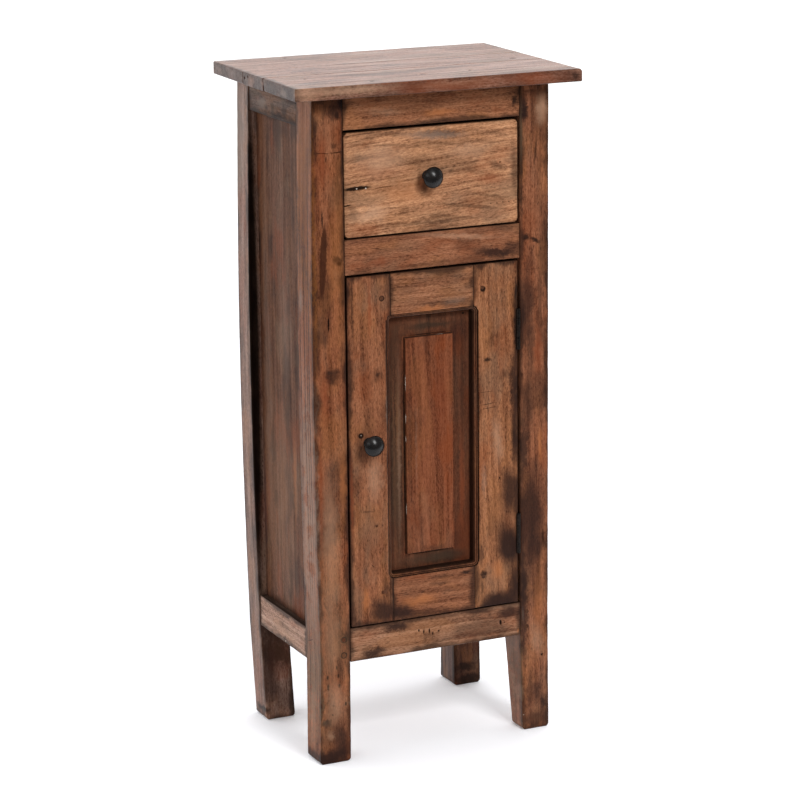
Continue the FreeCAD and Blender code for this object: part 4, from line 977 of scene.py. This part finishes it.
# The drawer's front.
drawerSettings = {
    "cut": {"arris": 1.6, "step": 3.4, "wear": 1.2, "seed": 31,
            "corners": [((0, 2), 6, [(-1, -1), (1, -1), (-1, 1), (1, 1)])]},
    # rim: painted shade on the drawer front's edges, in the gap round it
    "look": {"grain": 0, "rim": 0.75, "lean": 4, "tone": "#a97959", "greys": 0.35, "smoke": 0.35,
             "golds": 0.15, "contrast": 1.25, "streakWidth": 6, "streakLength": 90, "pores": 0.4, "seed": 31,
             "ringPlace": (70, 40), "edge": 0.3, "edgeReach": 5},
    "marks": [
        (357, 188.6, "crack", 43, 6, 1, 2), (385, 187, "line", 30, 1.4, 1, 2),
        (357, 189, "glint", 2.6, 2.6), (366, 188.5, "glint", 2.4, 2.4),
        (347.5, 206, "crack", 13, 2.2, 1, 4), (500, 162, "knot", 4, 3), (451, 171, "shade", 12, 8),
        (491, 203.5, "hole", 1.8, 1.8), (497, 203, "hole", 1.8, 1.8), (503, 202, "hole", 1.8, 1.8),
        (509, 201.5, "hole", 1.8, 1.8), (514, 201, "hole", 1.8, 1.8), (490, 133, "smoke", 80, 10, 0.3, -9),
        (441, 133, "smoke", 84, 11, 0.6, -5), (386, 134, "smoke", 90, 8, 0.5, -5),
        (440, 143, "smoke", 90, 8, 0.5, -6), (482, 173, "knot", 74, 9, 0.4, -16),
        # The knot at 421 across here, and the red and knot at 424 and 425 below, are the knob's painted
        # shadow, left of and below it, with a brown stain.
        (497, 165, "smoke", 34, 12, 0.6, -24), (421, 180, "knot", 14, 32, 0.7),
        (435, 135, "grey", 110, 14, 1, -4), (410, 190, "glow", 120, 40, 0.6, 2),
        (360, 158, "shade", 40, 14), (352, 215, "shade", 26, 30), (514, 165, "shade", 12, 90),
        (430, 222, "shade", 180, 10), (470, 150, "pale", 80, 30, 0.6, 3), (370, 138, "shade", 30, 8),
        (380, 160, "pale", 90, 50, 0.8, 2), (370, 215, "pale", 70, 26, 1, 2), (424, 184, "red", 26, 30),
        (425, 187, "knot", 13, 20, 0.8), (470, 206, "streak", 130, 6, 0.6, -9),
        (385, 172, "red", 90, 22, 0.5), (480, 141, "shade", 110, 8, 0.6, -7),
        (410, 146, "smoke", 130, 6, 0.3, -6), (365, 228, "red", 60, 12, 0.4, -6),
        (450, 216, "streak", 90, 5, 0.5, -8), (488, 195, "streak", 70, 5, 0.5, -10),
        (490, 178, "red", 70, 20, 1, -12), (400, 208, "streak", 60, 3, 0.4, -4),
        (390, 145, "streak", 70, 3, 0.35, -2),
    ],
}
makeBoard("drawerFrontWorn", "drawer_front", "drawer", "teak_drawer_front", drawerSettings["cut"],
          drawerSettings["look"], drawerSettings["marks"])
print("drawer front fitted")


# The door: two stiles, two rails, a moulding run round the opening, and a raised panel.
doorSettings = {
    "front": -109,
    "opening": (-61.5, 248, 57.6, 589),     # left, low, right, top
    "seam": 0.25,           # the rails end this far short of the stiles,
    "spare": 6,             # and have this much wood for the cutter to take
    "cutter": (-116, -76),  # from front to back, right through the door
    "mouldingWidth": 6,
    "mouldingCorner": 8,
    "mouldingStep": 9,      # spacing of its points along the sides
    "mouldingWavy": 0.25,
    "mouldingWave": 17,
    # The moulding's section: in from its outer line, and back from the door's face.
    "section": [(0, 24), (0, 0.15), (0.25, 1.1), (1.0, 1.25), (1.5, 1.0), (2.6, 1.25), (3.9, 2.1), (5.0, 3.5),
                (5.7, 5.0), (6, 6.6), (6, 15.4), (6, 24)],
    "cut": {"step": 3.8, "wear": 1.0, "wavy": 0.2},
    # rim: painted shade on the door boards' faces that look into a gap
    "look": {"rim": 0.72, "greys": 0.3, "smoke": 0.35},
    "stile": {"cut": {"arris": 1.0}, "look": {"grain": 2}},
    "rail": {"cut": {"arris": 0.5}, "look": {"grain": 0}},
    # Painted shade by the share of the way in from the moulding's outer line: dark in its hollows and on its
    # inner wall, light on its beads.
    "mouldingLook": {"tone": "#6f4531", "smoke": 0.5, "streakWidth": 5, "seed": 46, "bands": (
        (0, 0.97), (0.14, 0.97), (0.22, 0.35), (0.3, 0.2), (0.38, 0.9), (0.5, 0.85), (0.58, 0.2), (0.68, 0.2),
        (0.76, 0.85), (0.88, 0.75), (1, 0.92))},
}
doorBoards = {
    "door_left_stile": {"tone": "#7f5038", "marks": [
        (381.7, 298.6, "nail", 8, 8), (369.5, 310, "red", 8, 90), (378, 375, "knot", 7, 9),
        (378, 375, "shade", 22, 26), (361, 436, "nail", 8, 8), (361.2, 435.6, "glint", 1.8, 1.8, 0.7),
        (364, 450, "shade", 26, 46), (368, 550, "shade", 50, 90, 0.35), (350, 456, "stain", 5, 60, 0.7),
        (377, 526, "knot", 6, 5), (383, 592.5, "knot", 7, 7), (384, 612, "smoke", 46, 34),
        (378, 604, "char", 30, 24, 0.7), (386, 588, "shade", 14, 40), (373, 566, "line", 7, 2, 1, -50),
        (368, 512, "shade", 24, 4), (375, 480, "pale", 30, 80, 0.6), (352, 500, "red", 7, 160),
        (366, 600, "glow", 14, 50), (390.6, 590, "line", 1.2, 74), (390, 284, "shade", 30, 50, 0.6),
        (352, 300, "stain", 4, 170, 0.6), (388, 410, "grey", 8, 60),
    ]},
    "door_right_stile": {"tone": "#8a5a3e", "marks": [
        (483, 289, "nail", 8, 8), (486, 392, "line", 26, 1, 0.9), (488, 404, "line", 30, 1.2, 1, 4),
        (489, 408, "line", 26, 1.1, 1, 4), (486, 398, "line", 18, 1, 0.7, 80), (487, 360, "stain", 12, 8),
        (514, 385, "smoke", 18, 110), (511, 492, "smoke", 34, 84), (509, 545, "smoke", 46, 84, 1.1, 14),
        (513, 585, "smoke", 20, 70), (515, 445, "smoke", 14, 80, 0.9), (505, 480, "shade", 20, 40),
        (483.5, 574.5, "stain", 12, 14, 1, 40), (500, 600, "smoke", 74, 36, 1.1),
        (486, 608, "smoke", 34, 20), (482, 588, "stain", 6, 30, 0.7), (498, 570, "glow", 20, 34),
        (481, 556, "smoke", 12, 36, 0.7), (500, 478, "hole", 2, 4), (484, 480, "grey", 8, 60, 0.5),
        (500, 520, "shade", 60, 120, 0.3), (516, 330, "stain", 10, 90), (516, 290, "stain", 6, 40),
        (497, 440, "pale", 22, 80, 0.7), (505, 375, "shade", 24, 20),
    ]},
    "door_top_rail": {"tone": "#83573f", "marks": [
        (405, 290, "stain", 50, 16, 0.3), (445, 303, "smoke", 110, 12, 0.45, -5),
        (455, 300, "grey", 40, 14, 0.4), (430, 310, "glow", 60, 16), (420, 318, "shade", 60, 8),
        (470, 285, "shade", 26, 10),
    ]},
    "door_bottom_rail": {"tone": "#7d5039", "marks": [
        (440, 583, "shade", 50, 8), (420, 600, "glow", 60, 22), (423, 592, "knot", 6, 2.4, 1, 10),
        (425, 612, "shade", 90, 10), (466, 572, "stain", 22, 6), (402, 612, "smoke", 46, 26),
        (442, 576, "shade", 50, 8),
    ]},
}
panelSettings = {
    "front": -94, "back": -84,
    "field": (-37.2, 267.5, 33.3, 560.5),       # left, low, right, top
    "fieldHeight": 4.5,
    "fieldBevel": 1.6,
    "bevelLines": (-0.3, 0, 0.25, 0.5, 0.75, 1, 1.4),
    "margin": 24,           # from the field to the box whose edges hold the grime
    "cut": {"arris": 0.4, "step": 4, "wear": 0.2, "wavy": 0.25, "seed": 47},
    # rim: painted shade on the raised field's walls and the panel's edges
    "look": {"rim": 0.85, "tone": "#70402b", "reds": 0.5, "golds": 0.12, "greys": 0.15, "smoke": 0.3,
             "edge": 0.5, "edgeReach": 24, "edgeSoft": 0.1, "edgeRagged": 0.15, "streakWidth": 7,
             "streakLength": 260, "pores": 0.25, "seed": 47, "gloss": 0.38, "ringPlace": (20, 60)},
    "marks": [
        (399, 450, "grey", 8, 330, 0.3), (392, 450, "stain", 5, 360, 0.7), (396, 480, "stain", 6, 140, 0.4),
        (447, 349, "knot", 10, 5, 0.4, 20), (463, 313, "nail", 3.2, 3.2), (430, 325, "stain", 80, 10, 0.8),
        (462, 400, "stain", 6, 220, 0.5), (462, 480, "red", 10, 200), (440, 556, "stain", 90, 20, 0.85),
        (428, 440, "glow", 5, 170, 0.9), (415, 450, "grey", 6, 200, 0.7), (440, 400, "red", 30, 150, 0.8),
        # The seams round the field are painted shade with dark glaze in the step at its foot.
        (437, 548, "shade", 40, 14), ("seam", (-37.6, -95, 414), (0.9, 6, 148)),
        ("seam", (-2, -95, 561.4), (37, 6, 0.8)), ("seam", (33.9, -95, 414), (0.5, 6, 148)),
        ("shade", (-32, -98.5, 414), (5, 3, 150), 0.8), ("shade", (-2, -98.5, 272), (36, 3, 6), 0.7),
        # The glints along the field's left and top arrises are painted highlights.
        ("seam", (-2, -95, 266.6), (37, 6, 0.9)), ("glint", (-36.1, -98.5, 500), (0.3, 3, 12)),
        ("glint", (-36.1, -98.5, 452), (0.3, 3, 8)), ("glint", (-36.1, -98.5, 425), (0.3, 3, 5)),
        ("glint", (-36.1, -98.5, 330), (0.3, 3, 9)), ("glint", (14, -98.5, 559.8), (8, 3, 0.3)),
        # These two shades on the margin, by the moulding's left and top, are a stain with painted shadow
        # under the moulding.
        ("shade", (-48, -94, 330), (12, 6, 90), 0.8), ("shade", (-47, -94, 560), (14, 6, 40)),
        ("ochre", (-46, -94, 450), (5, 4, 60), 0.3), ("dust", (-49, -94, 414), (15, 6, 190), 0.55),
        ("dust", (45, -94, 414), (14, 6, 180), 0.12), ("dust", (-2, -94, 574), (70, 6, 16), 0.3),
        ("dust", (-2, -94, 257), (70, 6, 13), 0.4), ("stain", (-57, -94, 400), (3, 4, 150), 0.6),
        ("pale", (-45, -94, 380), (2.5, 4, 120), 0.25), ("stain", (-50, -94, 470), (1.6, 4, 90), 0.6),
        ("stain", (-41, -94, 360), (1.4, 4, 90), 0.5), ("smoke", (40, -94, 560), (16, 5, 24), 0.5),
    ],
}


def mouldingLine():
    # The moulding's outer line: left, low, right, top.
    left, low, rightSide, top = doorSettings["opening"]
    width = doorSettings["mouldingWidth"]
    return left - width, low - width, rightSide + width, top + width


def openingCutter():
    # A block with the moulding's outer line, right through the door.
    left, low, rightSide, top = mouldingLine()
    front, back = doorSettings["cutter"]
    shape = bmesh.new()
    bmesh.ops.create_cube(shape, size=1)
    bmesh.ops.scale(shape, verts=shape.verts, vec=(rightSide - left, back - front, top - low))
    bmesh.ops.translate(shape, verts=shape.verts,
                        vec=((left + rightSide) / 2, (front + back) / 2, (low + top) / 2))
    through = [e for e in shape.edges if abs((e.verts[0].co - e.verts[1].co).y) > 1]
    bmesh.ops.bevel(shape, geom=through, affect="EDGES", offset=doorSettings["mouldingCorner"], segments=8,
                    profile=0.5, material=-1)
    return finishMesh("openingCutter", shape)


def cutOut(piece, cutter):
    piece.modifiers.clear()
    boolean = piece.modifiers.new("cut", "BOOLEAN")
    boolean.operation = "DIFFERENCE"
    boolean.solver = "EXACT"
    boolean.object = cutter
    bpy.context.view_layer.update()
    cutMesh = bpy.data.meshes.new_from_object(piece.evaluated_get(bpy.context.evaluated_depsgraph_get()))
    piece.modifiers.clear()
    piece.data = cutMesh
    shadeEvenly(piece)


def makeDoorFrame():
    left, low, rightSide, top = doorSettings["opening"]
    seam, spare = doorSettings["seam"], doorSettings["spare"]
    sides = {
        "door_left_stile": {"right": left},
        "door_right_stile": {"left": rightSide},
        "door_top_rail": {"left": left + seam, "right": rightSide - seam, "bottom": top - spare},
        "door_bottom_rail": {"left": left + seam, "right": rightSide - seam, "top": low + spare},
    }
    cutter = openingCutter()
    for seed, (node, board) in enumerate(doorBoards.items()):
        kind = doorSettings[node.split("_")[-1]]
        piece = makeBoard(node + "Worn", node, "door", "teak_door",
                          {**doorSettings["cut"], **kind["cut"], "seed": seed + 41},
                          {**doorSettings["look"], **kind["look"], "tone": board["tone"], "seed": seed + 41,
                           "ringPlace": (60 - 30 * seed, 40)}, board["marks"], **sides[node])
        cutOut(piece, cutter)
    bpy.data.objects.remove(cutter)


def runMoulding():
    # The section is turned round each corner and drawn along each side.
    left, low, rightSide, top = mouldingLine()
    width, radius = doorSettings["mouldingWidth"], doorSettings["mouldingCorner"]
    shape = bmesh.new()
    points = [shape.verts.new((left + inward, doorSettings["front"] + back, low + radius))
              for inward, back in doorSettings["section"]]
    ends = [shape.edges.new(pair) for pair in zip(points, points[1:] + points[:1])]
    corners = [(left + radius, low + radius), (rightSide - radius, low + radius),
               (rightSide - radius, top - radius), (left + radius, top - radius)]
    for (x, z), (nextX, nextZ) in zip(corners, corners[1:] + corners[:1]):
        turned = bmesh.ops.spin(shape, geom=ends + list({v for e in ends for v in e.verts}), cent=(x, 0, z),
                                axis=(0, -1, 0), angle=math.pi / 2, steps=8, use_merge=False,
                                use_duplicate=False)
        ends = [g for g in turned["geom_last"] if isinstance(g, bmesh.types.BMEdge)]
        steps = round((abs(nextX - x) + abs(nextZ - z)) / doorSettings["mouldingStep"])
        for _ in range(steps):
            drawn = bmesh.ops.extrude_edge_only(shape, edges=ends)
            ends = [g for g in drawn["geom"] if isinstance(g, bmesh.types.BMEdge)
                    and all(v in drawn["geom"] for v in g.verts)]
            bmesh.ops.translate(shape, verts=[g for g in drawn["geom"] if isinstance(g, bmesh.types.BMVert)],
                                vec=((nextX - x) / steps, 0, (nextZ - z) / steps))
    bmesh.ops.remove_doubles(shape, verts=shape.verts, dist=0.01)
    bmesh.ops.recalc_face_normals(shape, faces=shape.faces)
    inward = shape.verts.layers.float.new("inward")     # how far in from the outer line, 0 to 1
    middle = ((left + rightSide) / 2, (low + top) / 2)
    half = ((rightSide - left) / 2 - radius, (top - low) / 2 - radius)
    for vert in shape.verts:
        over = [abs(c - m) - h for c, m, h in zip((vert.co.x, vert.co.z), middle, half)]
        outside = math.hypot(max(over[0], 0), max(over[1], 0)) + min(max(over), 0) - radius
        vert[inward] = min(1, max(0, -outside / width))
        vert.co.y += doorSettings["mouldingWavy"] * abs(noise.noise(vert.co / doorSettings["mouldingWave"]))
    moulding = finishMesh("doorMoulding", shape)
    fit(moulding, "door", "teak_door", waxedTeak("doorMouldingTeak", doorSettings["mouldingLook"]))


def fieldRelief(x, z):
    # Height of the raised field over the panel's margin.
    left, low, rightSide, top = panelSettings["field"]
    reach = min(x - left, rightSide - x, z - low, top - z) / panelSettings["fieldBevel"]
    return panelSettings["fieldHeight"] * min(1, max(0, reach)) ** 0.8


def makePanel():
    settings = panelSettings
    left, low, rightSide, top = settings["field"]
    bevel, margin = settings["fieldBevel"], settings["margin"]
    lines = [[start + inward * bevel * k for start, inward in ends for k in settings["bevelLines"]]
             for ends in (((left, 1), (rightSide, -1)), (), ((low, 1), (top, -1)))]
    makeBoard("doorPanelRaised", "door_panel", "door", "teak_door_panel",
              {**settings["cut"], "relief": fieldRelief, "lines": lines}, settings["look"], settings["marks"],
              (Vector((left - margin, settings["front"], low - margin)),
               Vector((rightSide + margin, settings["back"], top + margin))), front=settings["front"])


makeDoorFrame()
runMoulding()
makePanel()
print("door hung")


# The turned knobs.
knobSettings = {
    # Radius and height along the knob, from the wood outwards.
    "section": [(0, 0), (7.0, 0), (7.4, 0.3), (7.4, 1.7), (7.0, 2.0), (6.3, 2.3), (6.2, 4), (6.25, 7),
                (6.9, 10), (8.6, 13), (11.2, 15.8), (13.2, 17.1), (13.9, 17.8), (14, 18.5), (13.8, 19.5),
                (12.8, 20.8), (10.2, 23), (6.6, 25.2), (3, 26.5), (0, 26.9)],
    "steps": 40,
    # The middle of each knob's foot, and the body it moves with.
    "places": {"drawer_knob": (-7.9, -109, 771.8, "drawer"), "door_knob": (-95, -109, 429.25, "door")},
}


def makeKnobs():
    # Turned hardwood, ebonised and polished: near black, smooth, with a bright reflection.
    finish = plainFinish("ebonisedKnob", "#080606", "#140e0c", 9, 0.26, index=1.33, bumpDepth=0.00005)
    for node, (x, y, z, body) in knobSettings["places"].items():
        shape = bmesh.new()
        points = [shape.verts.new((x + r, y - h, z)) for r, h in knobSettings["section"]]
        edges = [shape.edges.new(pair) for pair in zip(points, points[1:])]
        bmesh.ops.spin(shape, geom=points + edges, cent=(x, y, z), axis=(0, 1, 0), angle=math.tau,
                       steps=knobSettings["steps"], use_merge=True, use_duplicate=False)
        bmesh.ops.remove_doubles(shape, verts=shape.verts, dist=0.01)
        bmesh.ops.recalc_face_normals(shape, faces=shape.faces)
        knob = finishMesh(node + "Turned", shape)
        knob.modifiers.clear()
        smooth = knob.modifiers.new("smooth", "SUBSURF")
        smooth.levels = smooth.render_levels = 1
        fit(knob, body, "dark_turned_knob", finish, node)


makeKnobs()
print("knobs turned")


# The pegs, and the CAD parts that keep their own shape. A peg's places are across and up.
pegSettings = {
    "frame": {"node": "frame_pegs", "body": "frame", "slot": "teak_frame", "radius": 3, "front": -110.2,
              "length": 26, "places": [(-134.5, 147), (-134.5, 168), (134.5, 147), (134.5, 168)]},
    "door": {"node": "door_pegs", "body": "door", "slot": "teak_door", "radius": 2.6, "front": -109.2,
             "length": 20, "places": [(-74, 618), (70.1, 618), (-74, 225.5), (70.1, 225.5)]},
}


def makePegs():
    finish = waxedTeak("pegTeak", {"grain": 1, "tone": "#5f3c2b", "seed": 60})
    for name, pegs in pegSettings.items():
        shape = bmesh.new()
        for x, z in pegs["places"]:
            made = bmesh.ops.create_cone(shape, cap_ends=True, segments=20, radius1=pegs["radius"],
                                         radius2=pegs["radius"], depth=pegs["length"])
            bmesh.ops.rotate(shape, verts=made["verts"], matrix=Matrix.Rotation(math.pi / 2, 3, "X"))
            bmesh.ops.translate(shape, verts=made["verts"], vec=(x, pegs["front"] + pegs["length"] / 2, z))
            rim = {e for v in made["verts"] for e in v.link_edges
                   if all(abs(end.co.y - pegs["front"]) < 0.01 for end in e.verts)}
            bmesh.ops.bevel(shape, geom=list(rim), affect="EDGES", offset=0.5, segments=3, profile=0.5,
                            material=-1)
        piece = finishMesh(name + "PegsCut", shape)
        fit(piece, pegs["body"], pegs["slot"], finish, pegs["node"])


def dressNodes():
    sawn = {"tone": "#7a5542", "gloss": 0.6, "smoke": 0.3}
    inside = [waxedTeak("insideTeak" + "XY"[axis], {**sawn, "grain": axis, "seed": 70 + axis})
              for axis in range(2)]
    blackened = plainFinish("blackenedHingeSteel", "#15110f", "#2e2622", 4, 0.45, metallic=0.85)
    zincSteel = plainFinish("zincScrewSteel", "#8c8a86", "#b3b0aa", 5, 0.35, metallic=1)
    catchBrown = plainFinish("brownMouldedPlastic", "#2b1d16", "#35241b", 3, 0.5)
    finishes = {
        inside[0]: ("cabinet_floor", "drawer_back", "drawer_bottom", "drawer_stops"),
        inside[1]: ("left_floor_cleat", "right_floor_cleat", "left_runner", "right_runner", "left_kicker",
                    "right_kicker", "left_top_cleat", "right_top_cleat", "drawer_left_side",
                    "drawer_right_side"),
        blackened: ("upper_hinge_post_leaf", "lower_hinge_post_leaf", "upper_hinge_door_leaf",
                    "lower_hinge_door_leaf", "upper_hinge_pin", "lower_hinge_pin", "hinge_post_screws",
                    "hinge_door_screws", "drawer_nails"),
        zincSteel: ("runner_screws", "top_screws", "catch_screws", "catch_strike", "strike_screw",
                    "drawer_knob_screw", "door_knob_screw"),
        catchBrown: ("catch_magnet",),
    }
    for material, names in finishes.items():
        for name in names:
            node = frame["nodes"][name]
            if not node.material_slots:
                node.data.materials.append(material)
            for slot in node.material_slots:
                slot.material = material


makePegs()
dressNodes()
print("pegs and fittings dressed")
